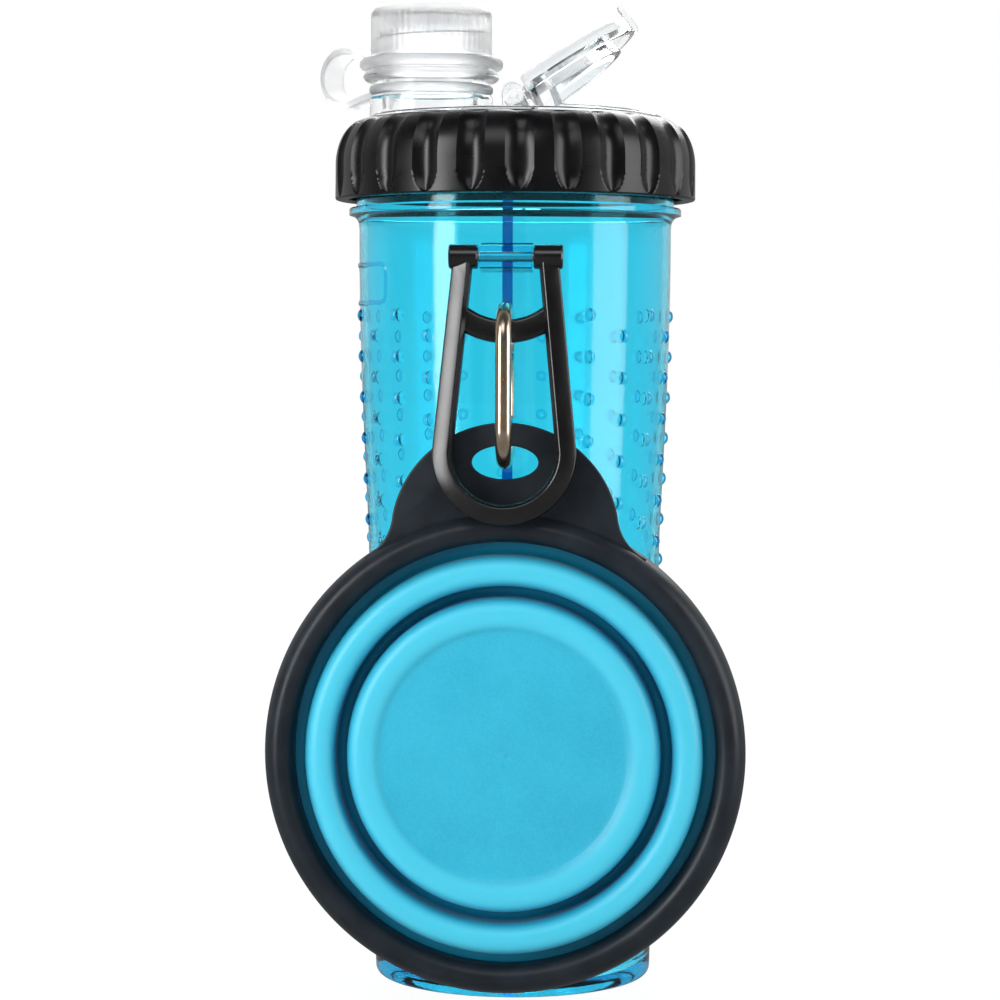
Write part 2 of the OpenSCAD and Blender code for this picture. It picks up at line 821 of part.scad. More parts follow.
module clip_frame() {
    nose_z = gate_top + nose_gap;
    color("silver")
        union() {
            wire_bend(clip_top, true);
            wire_bend(clip_low, false);
            translate([0, clip_y - clip_bend, clip_low])
                cylinder(r = wire_r, h = clip_top - clip_low);
            translate([0, gate_y, nose_z])
                cylinder(r = wire_r, h = clip_top - nose_z);
            translate([-tongue_t / 2, gate_y - wire_r * 0.6, nose_z - nose_len])
                cube([tongue_t, wire_r * 1.2, nose_len + 0.5]);
            difference() {
                union() {
                    translate([0, gate_y, clip_low])
                        cylinder(r = wire_r, h = rivet_z - wire_r - nose_gap - clip_low);
                    translate([-tongue_t / 2, gate_y - wire_r * 0.8, clip_low])
                        cube([tongue_t, wire_r * 1.6, rivet_z - clip_low]);
                    translate([-tongue_t / 2, gate_y, rivet_z])
                        rotate([0, 90, 0])
                            cylinder(r = wire_r * 0.8, h = tongue_t);
                }
                translate([-wire_r, gate_y, rivet_z])
                    rotate([0, 90, 0])
                        cylinder(r = rivet_r + run_gap, h = wire_d);
            }
        }
}

module clip_gate() {
    color("silver")
        difference() {
            union() {
                translate([0, gate_y, rivet_z])
                    cylinder(r = wire_r, h = gate_l);
                translate([0, gate_y, rivet_z])
                    sphere(r = wire_r);
            }
            translate([-slot_t / 2, gate_y - wire_r - 1, rivet_z - wire_r - 1])
                cube([slot_t, wire_d + 2, 2 * wire_r + 2]);
            translate([-slot_t / 2, gate_y - wire_r - 1, gate_top - nose_len])
                cube([slot_t, wire_d + 2, nose_len + 1]);
            translate([-wire_r - 1, gate_y, rivet_z])
                rotate([0, 90, 0])
                    cylinder(r = rivet_r + run_gap / 2, h = wire_d + 2);
        }
}

module gate_rivet() {
    color("silver")
        translate([-wire_r + 0.2, gate_y, rivet_z])
            rotate([0, 90, 0])
                cylinder(r = rivet_r, h = wire_d - 0.4);
}

module on_cup() {
    translate([0, -cup_back_y, cup_z])
        rotate([90, 0, 0])
            children();
}

module tab_outline() {
    intersection() {
        union() {
            translate([0, cup_tab_top - tab_r])
                circle(r = tab_r);
            for (side = [-1, 1])
                polygon([[0, tab_foot[1]], [side * tab_foot[0], tab_foot[1]],
                    [side * tab_flare[0][0], tab_flare[0][1]], [side * tab_flare[1][0], tab_flare[1][1]],
                    [0, tab_flare[1][1]]]);
        }
        translate([-rim_r, rim_in * cos(tab_foot_angle)])
            square([2 * rim_r, rim_r]);
    }
}

module cup_rim() {
    color("dimgray")
        on_cup()
            difference() {
                union() {
                    rotate_extrude()
                        polygon(concat(
                            [[rim_in, 0], [rim_r - 0.6, 0], [rim_r, 0.6]],
                            arc(rim_crest_r, 3, rim_r - rim_crest_r, rim_depth - 3, 0, 90, 7),
                            arc(rim_crest_r, rim_depth - 3.4, rim_crest_r - rim_in, 3.4, 90, 180, 6)));
                    translate([0, 0, tab_back])
                        linear_extrude(tab_t)
                            difference() {
                                tab_outline();
                                circle(r = rim_in + 1);
                            }
                }
                translate([0, hole_y, tab_back - 1])
                    linear_extrude(tab_t + 2)
                        polygon([for (a = [0:7.5:352.5]) [hole_half_w * cos(a), hole_half_h * sin(a)]]);
            }
}

// The outer soft wall: a flange in the rim, and a wall that rises to the outer fold
module cup_outer_wall() {
    color("deepskyblue")
        on_cup()
            rotate_extrude()
                polygon(concat(
                    [[rim_in - seat_gap, flange_d], [rim_in - seat_gap, flange_d + cup_wall],
                        [fold_1_r + fold_half + 0.8, flange_d + cup_wall],
                        [fold_1_r + fold_half, flange_d + cup_wall + 0.8]],
                    arc(fold_1_r, crest_d, fold_half, fold_half, 0, 180, 14),
                    arc(fold_1_r, crest_d, fold_in, fold_in, 180, 0, 10),
                    [[fold_1_r + fold_in, flange_d]]));
}

// The groove's wall, from the inner fold to the outer one, turns over when the cup is popped out
module cup_middle_wall() {
    color("deepskyblue")
        on_cup()
            rotate_extrude()
                polygon(concat(
                    arc(groove_r, groove_out, groove_out, groove_out, 180, 360, 12),
                    [[fold_1_r - fold_in, crest_d - seat_gap], [fold_1_r - fold_half, crest_d - seat_gap]],
                    arc(groove_r, groove_out, groove_in, groove_in, 360, 180, 8)));
}

// The inner fold and the base move together
module cup_base() {
    color("deepskyblue")
        on_cup()
            rotate_extrude()
                polygon(concat(
                    [[0, base_d - cup_wall], [fold_2_r - fold_in - 1, base_d - cup_wall]],
                    arc(fold_2_r, crest_d, fold_in, fold_in, 150, 0, 10),
                    [[fold_2_r + fold_in, groove_out + seat_gap],
                        [fold_2_r + fold_half, groove_out + seat_gap]],
                    arc(fold_2_r, crest_d, fold_half, fold_half, 0, base_meet_angle, 12),
                    [[0, base_d]]));
}

bottle_shell();
divider_wall();
chamber_gasket();
collar_ring();
lid_plate();
door_hinge_pin();
flip_door();
door_seal();
spout_cap();
cap_liner();
tether_base_ring();
tether_strap();
tether_top_ring();
handle();
handle_pin();
clip_frame();
clip_gate();
gate_rivet();
cup_rim();
cup_outer_wall();
cup_middle_wall();
cup_base();
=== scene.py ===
"""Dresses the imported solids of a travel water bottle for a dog.

Lengths are in millimetres until a mesh is finished, and each finished mesh is in metres in the
frame of the solids: +Z up, the handle and the cup at -Y, the spout at -X and the flip door at +X.
"""

import logging
import math
from dataclasses import dataclass
from enum import Enum
from typing import Callable, Optional, Sequence

import bmesh
import bpy
from mathutils import Matrix, Vector


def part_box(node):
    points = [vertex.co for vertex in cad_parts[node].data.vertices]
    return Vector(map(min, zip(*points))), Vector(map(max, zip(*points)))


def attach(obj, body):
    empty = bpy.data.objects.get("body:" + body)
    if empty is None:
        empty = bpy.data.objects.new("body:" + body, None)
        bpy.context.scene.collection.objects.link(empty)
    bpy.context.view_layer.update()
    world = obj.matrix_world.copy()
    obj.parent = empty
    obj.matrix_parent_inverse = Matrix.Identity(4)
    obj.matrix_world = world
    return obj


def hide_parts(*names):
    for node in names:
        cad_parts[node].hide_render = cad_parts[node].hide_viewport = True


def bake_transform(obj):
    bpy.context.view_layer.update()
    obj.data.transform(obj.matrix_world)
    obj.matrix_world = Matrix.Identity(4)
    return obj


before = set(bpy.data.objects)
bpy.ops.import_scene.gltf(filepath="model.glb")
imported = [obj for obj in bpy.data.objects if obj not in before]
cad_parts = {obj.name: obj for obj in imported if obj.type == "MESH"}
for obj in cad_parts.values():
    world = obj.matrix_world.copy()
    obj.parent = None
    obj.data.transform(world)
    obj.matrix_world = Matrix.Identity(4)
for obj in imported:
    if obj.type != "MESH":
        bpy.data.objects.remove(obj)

MM = 0.001
Point = tuple[float, float]
Colour = tuple[float, float, float]
Shape = Callable[[float, float, float, int], tuple[float, float]]
LOG = logging.getLogger("bottle")
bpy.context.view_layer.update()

# Stands a plate up: its outline then lies in Y and Z, and its thickness along X.
ON_EDGE = Matrix(((0, 0, 1, 0), (1, 0, 0, 0), (0, 1, 0, 0), (0, 0, 0, 1)))


# ---------------------------------------------------------------- measures


def srgb(red: int, green: int, blue: int) -> Colour:
    """Gives the linear colour of an 8-bit screen colour.

    Args:
        red: Red, from 0 to 255.
        green: Green, from 0 to 255.
        blue: Blue, from 0 to 255.

    Returns:
        The linear colour.
    """
    def linear(level: int) -> float:
        """Undoes the screen's curve for one level."""
        share = level / 255
        return share / 12.92 if share <= 0.04045 else ((share + 0.055) / 1.055) ** 2.4
    return linear(red), linear(green), linear(blue)


def smooth(value: float, low: float, high: float) -> float:
    """Rises smoothly from 0 at low to 1 at high."""
    t = min(max((value - low) / (high - low), 0.0), 1.0)
    return t * t * (3 - 2 * t)


def arc(cx: float, cy: float, rx: float, ry: float, start: float, end: float,
        steps: int) -> list[Point]:
    """Gives points along part of an ellipse.

    Args:
        cx: Centre, across.
        cy: Centre, up.
        rx: Radius across.
        ry: Radius up.
        start: First angle in degrees.
        end: Last angle in degrees.
        steps: Number of steps between the first and the last point.

    Returns:
        The points, both ends included.
    """
    angles = (math.radians(start + (end - start) * i / steps) for i in range(steps + 1))
    return [(cx + rx * math.cos(a), cy + ry * math.sin(a)) for a in angles]


def rounded_box(half_w: float, half_h: float, corner: float, steps: int) -> list[Point]:
    """Gives a rectangle about the origin, with round corners.

    Args:
        half_w: Half of its width.
        half_h: Half of its height.
        corner: Radius of its corners.
        steps: Number of steps round a corner.

    Returns:
        The closed outline, counter-clockwise.
    """
    points = []
    for index, (across, up) in enumerate(((1, 1), (-1, 1), (-1, -1), (1, -1))):
        points += arc(across * (half_w - corner), up * (half_h - corner), corner, corner,
                      90 * index, 90 * index + 90, steps)
    return points


def curve(first: Point, bend: Point, last: Point, steps: int) -> list[Point]:
    """Gives points along a curve that leaves and arrives in the direction of its bend.

    Args:
        first: Where it starts.
        bend: The point that pulls it.
        last: Where it ends.
        steps: Number of steps between the first and the last point.

    Returns:
        The points, both ends included.
    """
    return [tuple((1 - t) ** 2 * a + 2 * t * (1 - t) * b + t * t * c
                  for a, b, c in zip(first, bend, last))
            for t in (i / steps for i in range(steps + 1))]


def quarter_turn(axis: str, x: float = 0, y: float = 0, z: float = 0) -> Matrix:
    """Gives the place of a piece that is turned a quarter about an axis and then moved."""
    return Matrix.Translation((x, y, z)) @ Matrix.Rotation(math.pi / 2, 4, axis)


def ridge(height: float, foot: float, top: float, root: float = 0.4) -> list[Point]:
    """Gives the section of a thread's ridge.

    Args:
        height: Height of the ridge, which is below zero where it points inwards.
        foot: Half of its width at the root.
        top: Half of its width at the crest.
        root: How far it reaches into the wall.

    Returns:
        The section, as offsets outwards and upwards.
    """
    sunk = -math.copysign(root, height)
    return [(sunk, -foot), (height, -top), (height, top), (sunk, foot)]


@dataclass(frozen=True)
class NodeBox:
    """The box of a solid, in millimetres."""

    node: str

    @property
    def low(self) -> Vector:
        """Lowest corner."""
        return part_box(self.node)[0] / MM

    @property
    def high(self) -> Vector:
        """Highest corner."""
        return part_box(self.node)[1] / MM

    @property
    def middle(self) -> Vector:
        """Centre of the box."""
        return (self.low + self.high) / 2

    @property
    def radius(self) -> float:
        """Half of the box's width."""
        return (self.high.x - self.low.x) / 2


# ---------------------------------------------------------------- meshes


def add_object(name: str, data: Optional[bpy.types.ID]) -> bpy.types.Object:
    """Puts an object into the scene, at the origin.

    Args:
        name: Name of the new object.
        data: What it holds.

    Returns:
        The object.
    """
    obj = bpy.data.objects.new(name, data)
    bpy.context.scene.collection.objects.link(obj)
    return obj


def shade(data: bpy.types.Mesh, sharp: float) -> None:
    """Shades a mesh smooth, apart from edges past an angle in degrees."""
    data.shade_smooth()
    data.set_sharp_from_angle(angle=math.radians(sharp))


def mesh_object(name: str, mesh: bmesh.types.BMesh, sharp: float) -> bpy.types.Object:
    """Turns a working mesh into a shaded object.

    Args:
        name: Name of the new object.
        mesh: The working mesh, which is freed.
        sharp: Angle in degrees past which an edge stays sharp.

    Returns:
        The object, linked to the scene at the origin.
    """
    data = bpy.data.meshes.new(name)
    mesh.to_mesh(data)
    mesh.free()
    shade(data, sharp)
    return add_object(name, data)


def bake_modifiers(obj: bpy.types.Object) -> None:
    """Gives an object the plain mesh that its modifiers make, and removes them.

    Args:
        obj: The object.
    """
    data = bpy.data.meshes.new_from_object(obj.evaluated_get(bpy.context.evaluated_depsgraph_get()))
    obj.modifiers.clear()
    obj.data = data


def finish_mesh(name: str, mesh: bmesh.types.BMesh, place: Optional[Matrix] = None,
                sharp: float = 38) -> bpy.types.Object:
    """Turns a working mesh in millimetres into a finished object in metres.

    Args:
        name: Name of the new object.
        mesh: The working mesh, which is freed.
        place: Where the mesh goes, in millimetres.
        sharp: Angle in degrees past which an edge stays sharp.

    Returns:
        The object, linked to the scene at the origin.
    """
    if place is not None:
        mesh.transform(place)
    mesh.transform(Matrix.Scale(MM, 4))
    bmesh.ops.remove_doubles(mesh, verts=mesh.verts, dist=2e-7)
    bmesh.ops.recalc_face_normals(mesh, faces=mesh.faces)
    return mesh_object(name, mesh, sharp)


def revolve(profile: Sequence[Point], segments: int, closed: bool = False,
            shape: Optional[Shape] = None) -> bmesh.types.BMesh:
    """Turns a profile about +Z.

    Args:
        profile: Points as radius and height; with closed off, both ends lie on the axis.
        segments: Steps round the axis.
        closed: Whether the profile is a loop.
        shape: Gives a point's radius and height from its angle, radius, height and index.

    Returns:
        The working mesh.
    """
    mesh = bmesh.new()
    rings = []
    for i in range(segments):
        a = math.radians(360 * i / segments)
        ring = []
        for index, (r, z) in enumerate(profile):
            if shape:
                r, z = shape(a, r, z, index)
            ring.append(mesh.verts.new((r * math.cos(a), r * math.sin(a), z)))
        rings.append(ring)
    spans = len(profile) if closed else len(profile) - 1
    for i in range(segments):
        near, far = rings[i], rings[(i + 1) % segments]
        for j in range(spans):
            k = (j + 1) % len(profile)
            mesh.faces.new((near[j], far[j], far[k], near[k]))
    return mesh


def sweep(path: Sequence[Vector], section: Sequence[Point], side: Callable[[int], Vector],
          scale: Optional[Callable[[int], tuple[float, float]]] = None,
          ends: bool = True) -> bmesh.types.BMesh:
    """Carries a closed section along a path.

    Args:
        path: The points of the path.
        section: The section, as offsets along the side direction and across it.
        side: Gives the side direction at a path point.
        scale: Gives the section's two scales at a path point.
        ends: Whether to cap both ends; with it off the path is a loop.

    Returns:
        The working mesh.
    """
    mesh = bmesh.new()
    count = len(path)
    rings = []
    for i, point in enumerate(path):
        ahead = path[min(i + 1, count - 1)] if ends else path[(i + 1) % count]
        behind = path[max(i - 1, 0)] if ends else path[i - 1]
        along = (ahead - behind).normalized()
        first = side(i)
        first = (first - along * first.dot(along)).normalized()
        second = along.cross(first)
        wide, deep = scale(i) if scale else (1, 1)
        rings.append([mesh.verts.new(point + first * u * wide + second * v * deep)
                      for u, v in section])
    size = len(section)
    for i in range(count - 1 if ends else count):
        near, far = rings[i], rings[(i + 1) % count]
        for j in range(size):
            mesh.faces.new((near[j], near[(j + 1) % size], far[(j + 1) % size], far[j]))
    if ends:
        mesh.faces.new(rings[0])
        mesh.faces.new(list(reversed(rings[-1])))
    return mesh


def slab(outline: Sequence[Point], low: float, high: float, bevel: float = 0, steps: int = 3,
         holes: Sequence[Sequence[Point]] = ()) -> bmesh.types.BMesh:
    """Raises a flat outline into a plate with rounded edges.

    Args:
        outline: The outer loop in X and Y.
        low: Height of the underside.
        high: Height of the top.
        bevel: Radius of the rounded edges.
        steps: Segments of a rounded edge.
        holes: Loops that go right through.

    Returns:
        The working mesh.
    """
    mesh = bmesh.new()
    edges = []
    for loop in (outline, *holes):
        ring = [mesh.verts.new((x, y, low)) for x, y in loop]
        edges += [mesh.edges.new((ring[i], ring[(i + 1) % len(ring)])) for i in range(len(ring))]
    bmesh.ops.triangle_fill(mesh, edges=edges, use_beauty=True)
    bmesh.ops.dissolve_limit(mesh, angle_limit=0.01, verts=mesh.verts, edges=mesh.edges)
    moved = bmesh.ops.extrude_face_region(mesh, geom=list(mesh.faces))["geom"]
    lifted = [v for v in moved if isinstance(v, bmesh.types.BMVert)]
    bmesh.ops.translate(mesh, verts=lifted, vec=(0, 0, high - low))
    bmesh.ops.recalc_face_normals(mesh, faces=mesh.faces)
    if bevel:
        rims = [e for e in mesh.edges if len(e.link_faces) == 2 and e.calc_face_angle(0) > 1.2]
        rims = [e for e in rims if abs(e.verts[0].co.z - e.verts[1].co.z) < 1e-6]
        bmesh.ops.bevel(mesh, geom=rims, offset=bevel, segments=steps, profile=0.5, affect="EDGES")
    return mesh


def combine(name: str, base: bpy.types.Object, tools: Sequence[bpy.types.Object],
            operation: str = "UNION", sharp: float = 38) -> bpy.types.Object:
    """Joins closed meshes into one, or cuts them away, and deletes the tools.

    Args:
        name: Name of the result.
        base: The mesh that is kept.
        tools: The meshes that are added or cut away.
        operation: UNION or DIFFERENCE.
        sharp: Angle in degrees past which an edge stays sharp.

    Returns:
        The result as a plain mesh object.
    """
    for tool in tools:
        cut = base.modifiers.new(tool.name, "BOOLEAN")
        cut.operation = operation
        cut.solver = "MANIFOLD"
        cut.object = tool
    bake_modifiers(base)
    base.name = base.data.name = name
    shade(base.data, sharp)
    for tool in tools:
        bpy.data.objects.remove(tool)
    return base


def copy_of_node(node: str, name: str, sharp: float = 30) -> bpy.types.Object:
    """Copies a solid's triangles as a smooth mesh of its own.

    Args:
        node: The solid's name.
        name: Name of the copy.
        sharp: Angle in degrees past which an edge stays sharp.

    Returns:
        The copy, which stands where the solid stands.
    """
    mesh = bmesh.new()
    mesh.from_mesh(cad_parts[node].data)
    bmesh.ops.remove_doubles(mesh, verts=mesh.verts, dist=1e-6)
    bmesh.ops.dissolve_degenerate(mesh, dist=1e-7, edges=mesh.edges)
    return mesh_object(name, mesh, sharp)


def scatter(name: str, points: Sequence[Vector], turns: Sequence[Vector], shape: bpy.types.Object,
            material: bpy.types.Material, size: float = 1.0) -> bpy.types.Object:
    """Repeats a small shape at points with Geometry Nodes and bakes the result.

    Args:
        name: Name of the result.
        points: Where the copies go, in millimetres.
        turns: The turn of each copy, as Euler angles in radians.
        shape: The shape to repeat, in metres, which is deleted.
        material: The finish of the copies.
        size: Scale of the copies.

    Returns:
        One plain mesh object that holds every copy.
    """
    data = bpy.data.meshes.new(name)
    data.from_pydata([p * MM for p in points], [], [])
    turn = data.attributes.new("turn", "FLOAT_VECTOR", "POINT")
    turn.data.foreach_set("vector", [c for t in turns for c in t])
    obj = add_object(name, data)
    tree = bpy.data.node_groups.new(name, "GeometryNodeTree")
    add_socket = tree.interface.new_socket
    add_socket("Geometry", in_out="INPUT", socket_type="NodeSocketGeometry")
    copy_size = add_socket("Copy Size", in_out="INPUT", socket_type="NodeSocketFloat")
    add_socket("Geometry", in_out="OUTPUT", socket_type="NodeSocketGeometry")
    graph = Graph(tree)
    source = graph.node("NodeGroupInput")
    info = graph.node("GeometryNodeObjectInfo", {}, {"Object": shape})
    named = graph.node("GeometryNodeInputNamedAttribute", {"data_type": "FLOAT_VECTOR"},
                       {"Name": "turn"})
    copies = graph.node("GeometryNodeInstanceOnPoints", {}, {
        "Points": source.outputs["Geometry"], "Instance": info.outputs["Geometry"],
        "Rotation": named.outputs["Attribute"], "Scale": source.outputs["Copy Size"]})
    plain = graph.node("GeometryNodeRealizeInstances", {}, {"Geometry": copies.outputs["Instances"]})
    paint = graph.node("GeometryNodeSetMaterial", {}, {
        "Geometry": plain.outputs["Geometry"], "Material": material})
    graph.node("NodeGroupOutput", {}, {"Geometry": paint.outputs["Geometry"]})
    modifier = obj.modifiers.new(name, "NODES")
    modifier.node_group = tree
    modifier[copy_size.identifier] = size
    bake_modifiers(obj)
    bpy.data.objects.remove(shape)
    return obj


# ---------------------------------------------------------------- shader graphs


class Value:
    """A number in a shader graph; arithmetic on it adds Math nodes."""

    def __init__(self, graph: "Graph", socket: bpy.types.NodeSocket) -> None:
        """Wraps an output socket."""
        self.graph = graph
        self.socket = socket

    def _math(self, operation: str, first: object, second: object) -> "Value":
        """Adds one Math node for two operands."""
        return self.graph.value("ShaderNodeMath", {"operation": operation}, {0: first, 1: second})

    def __add__(self, other: object) -> "Value":
        """Adds."""
        return self._math("ADD", self, other)

    def __sub__(self, other: object) -> "Value":
        """Subtracts."""
        return self._math("SUBTRACT", self, other)

    def __rsub__(self, other: object) -> "Value":
        """Is subtracted from a number."""
        return self._math("SUBTRACT", other, self)

    def __mul__(self, other: object) -> "Value":
        """Multiplies."""
        return self._math("MULTIPLY", self, other)

    __radd__ = __add__
    __rmul__ = __mul__

    def root(self) -> "Value":
        """Takes the square root."""
        return self._math("SQRT", self, 0.0)

    def between(self, low: float, high: float, first: object = 0.0, last: object = 1.0) -> "Value":
        """Turns a rise from low to high into a smooth change from first to last.

        Args:
            low: Where the change starts.
            high: Where it ends.
            first: What stands at the start.
            last: What stands at the end.

        Returns:
            The changing value.
        """
        return self.graph.value("ShaderNodeMapRange", {"interpolation_type": "SMOOTHSTEP"}, {
            "Value": self, "From Min": low, "From Max": high, "To Min": first, "To Max": last},
            "Result")


class Graph:
    """A node graph that takes nodes by their type."""

    def __init__(self, tree: bpy.types.NodeTree) -> None:
        """Holds on to the tree."""
        self.tree = tree

    def node(self, kind: str, settings: Optional[dict] = None,
             inputs: Optional[dict] = None) -> bpy.types.Node:
        """Adds a node.

        Args:
            kind: The node's type.
            settings: Properties of the node, which are set first.
            inputs: Values or links of its sockets, by name or by number.

        Returns:
            The node.
        """
        node = self.tree.nodes.new(kind)
        for key, value in (settings or {}).items():
            setattr(node, key, value)
        for key, value in (inputs or {}).items():
            self.feed(node.inputs[key], value)
        return node

    def feed(self, socket: bpy.types.NodeSocket, value: object) -> None:
        """Sets a socket, or links it.

        Args:
            socket: The input.
            value: A number, a colour, a name, a data block, or what to link.
        """
        if isinstance(value, Value):
            value = value.socket
        if isinstance(value, bpy.types.NodeSocket):
            self.tree.links.new(value, socket)
        else:
            socket.default_value = value

    def value(self, kind: str, settings: Optional[dict] = None, inputs: Optional[dict] = None,
              output: object = 0) -> Value:
        """Adds a node whose output is a number.

        Args:
            kind: The node's type.
            settings: Properties of the node, which are set first.
            inputs: Values or links of its sockets, by name or by number.
            output: Name or number of the output.

        Returns:
            The output.
        """
        return Value(self, self.node(kind, settings, inputs).outputs[output])


class Surface(Graph):
    """The node graph of one material, with its main shader at hand."""

    def __init__(self, name: str) -> None:
        """Makes the material and finds its main shader.

        Args:
            name: Name of the finish.
        """
        self.material = bpy.data.materials.new(f"{name}_finish")
        self.material.use_nodes = True
        super().__init__(self.material.node_tree)
        self.shader = self.tree.nodes["Principled BSDF"]
        self.output = self.tree.nodes["Material Output"]

    def place(self) -> bpy.types.NodeSocket:
        """Gives the position on the object."""
        return self.node("ShaderNodeTexCoord").outputs["Object"]

    def noise(self, size: float, detail: float = 3, roughness: float = 0.55,
              stretch: Optional[Sequence[float]] = None) -> Value:
        """Adds a noise pattern.

        Args:
            size: Size of its features in millimetres.
            detail: Levels of detail.
            roughness: Strength of the finer levels.
            stretch: Scale of the pattern along each axis.

        Returns:
            The noise, from 0 to 1.
        """
        where = self.place()
        if stretch is not None:
            mapping = self.node("ShaderNodeMapping", {}, {"Vector": where, "Scale": stretch})
            where = mapping.outputs[0]
        return self.value("ShaderNodeTexNoise", {}, {
            "Vector": where, "Scale": 1 / (size * MM), "Detail": detail, "Roughness": roughness},
            "Fac")

    def blend(self, share: Value, first: object, second: object) -> bpy.types.NodeSocket:
        """Mixes two colours.

        Args:
            share: How much of the second colour there is.
            first: The first colour.
            second: The second colour.

        Returns:
            The mixed colour.
        """
        colours = [(*value, 1.0) if isinstance(value, tuple) else value for value in (first, second)]
        node = self.node("ShaderNodeMix", {"data_type": "RGBA"},
                         {0: share, 6: colours[0], 7: colours[1]})
        return node.outputs[2]

    def bump(self, height: Value, depth: float, below: object = None) -> bpy.types.NodeSocket:
        """Turns a height into a surface normal.

        Args:
            height: The height, from 0 to 1.
            depth: What 1 stands for, in millimetres.
            below: A normal to build on.

        Returns:
            The normal.
        """
        inputs = {"Height": height, "Distance": depth * MM, "Strength": 1.0}
        if below is not None:
            inputs["Normal"] = below
        return self.node("ShaderNodeBump", {}, inputs).outputs["Normal"]

    def set(self, **inputs: object) -> None:
        """Sets sockets of the main shader.

        Args:
            inputs: Values or links by the sockets' names, with underscores for spaces.
        """
        for key, value in inputs.items():
            socket = self.shader.inputs[key.replace("_", " ")]
            if isinstance(value, tuple) and len(value) == 3 and socket.type == "RGBA":
                value = (*value, 1.0)
            self.feed(socket, value)


# ---------------------------------------------------------------- finishes


@dataclass(frozen=True)
class ClearPlastic:
    """A clear moulded plastic, tinted through its depth.

    Attributes:
        name: Name of the material.
        colour: Colour that both faces of a wall give.
        depth_colour: Colour that the depth lets through.
        density: How fast the depth takes colour away, per metre.
        roughness: Roughness of the polished faces.
        ripple: Depth of the moulding's slow ripples, in millimetres.
        ior: How strongly the depth bends light.
        coat: Strength of the polished skin's gloss.
        raised: Painted shade round the foot of what stands up from the wall, found by the attribute of
            that name, for the dark outline that refraction gives the grip dots.
    """

    name: str
    colour: Colour
    depth_colour: Colour
    density: float
    roughness: float = 0.02
    ripple: float = 0.02
    ior: float = 1.3
    coat: float = 0.6
    raised: Optional[Colour] = None

    def build(self) -> bpy.types.Material:
        """Makes the material.

        Returns:
            The material.
        """
        graph = Surface(self.name)
        scuffs = graph.noise(0.9, 5, 0.65).between(0.62, 0.8)
        slow = graph.noise(14, 2, 0.5)
        tint = self.colour
        if self.raised is not None:
            height = graph.value("ShaderNodeAttribute", {"attribute_name": "raised"}, output="Fac")
            # Painted shade: a darker ring round each dot's foot, mostly gone again on its top.
            ring = height.between(0.04, 0.3) - height.between(0.6, 0.95) * 0.7
            tint = graph.blend(ring, self.colour, self.raised)
        graph.set(Base_Color=tint, Roughness=scuffs * 0.03 + self.roughness, IOR=self.ior,
                  Transmission_Weight=1.0, Coat_Weight=self.coat, Coat_Roughness=0.1,
                  Normal=graph.bump(slow, self.ripple))
        depth = graph.node("ShaderNodeVolumeAbsorption", {}, {
            "Color": (*self.depth_colour, 1.0), "Density": self.density})
        graph.feed(graph.output.inputs["Volume"], depth.outputs[0])
        return graph.material


@dataclass(frozen=True)
class FrostedPlastic:
    """A milky soft plastic that lets light through."""

    name: str
    colour: Colour
    through: float
    roughness: float

    def build(self) -> bpy.types.Material:
        """Makes the material.

        Returns:
            The material.
        """
        graph = Surface(self.name)
        cloud = graph.noise(5, 3).between(0.3, 0.7)
        grain = graph.noise(0.25, 2)
        deep = tuple(c * 0.985 for c in self.colour)
        graph.set(Base_Color=graph.blend(cloud, self.colour, deep),
                  Roughness=cloud * 0.08 + self.roughness,
                  IOR=1.24, Transmission_Weight=self.through, Normal=graph.bump(grain, 0.012),
                  Subsurface_Weight=1.0, Subsurface_Scale=0.006, Subsurface_Radius=(1.0, 1.0, 1.0))
        return graph.material


@dataclass(frozen=True)
class MouldedPlastic:
    """An opaque moulding with a fine grain, slow shade changes and faint scuffs."""

    name: str
    colour: Colour
    roughness: float
    grain: float = 0.22
    grain_depth: float = 0.012
    scuff: float = 0.12
    specular: float = 0.5
    coat: float = 0.0

    def build(self) -> bpy.types.Material:
        """Makes the material.

        Returns:
            The material.
        """
        graph = Surface(self.name)
        slow = graph.noise(9, 3).between(0.3, 0.7)
        scuffs = graph.noise(1.6, 6, 0.7, stretch=(1.0, 1.0, 0.35)).between(0.58, 0.74)
        grain = graph.noise(self.grain, 2)
        pale = tuple(min(c * 1.35 + 0.0015, 1) for c in self.colour)
        graph.set(Base_Color=graph.blend(slow, self.colour, pale),
                  Roughness=slow * 0.05 + scuffs * self.scuff + self.roughness,
                  Specular_IOR_Level=self.specular, Coat_Weight=self.coat, Coat_Roughness=0.12,
                  Normal=graph.bump(grain, self.grain_depth))
        return graph.material


@dataclass(frozen=True)
class SoftRubber:
    """A soft satin rubber with a powdery grain and slow changes of tone; its folded kind adds painted
    shade in its folds.
    """

    name: str
    colour: Colour
    deep: Colour
    roughness: float
    grain_depth: float = 0.02

    def tint(self, graph: Surface, speck: Value) -> bpy.types.NodeSocket:
        """Gives the colour over the surface.

        Args:
            graph: The material's graph.
            speck: The rubber's fine grain.

        Returns:
            The colour.
        """
        slow = graph.noise(12, 3).between(0.25, 0.75)
        return graph.blend(slow * 0.35 + speck.between(0.35, 0.65) * 0.4, self.colour, self.deep)

    def build(self) -> bpy.types.Material:
        """Makes the material.

        Returns:
            The material.
        """
        graph = Surface(self.name)
        speck = graph.noise(0.5, 4, 0.7)
        graph.set(Base_Color=self.tint(graph, speck),
                  Roughness=speck * 0.12 + self.roughness, Specular_IOR_Level=0.45,
                  Sheen_Weight=0.12, Sheen_Roughness=0.4, Normal=graph.bump(speck, self.grain_depth),
                  Subsurface_Weight=0.08, Subsurface_Scale=0.002)
        return graph.material


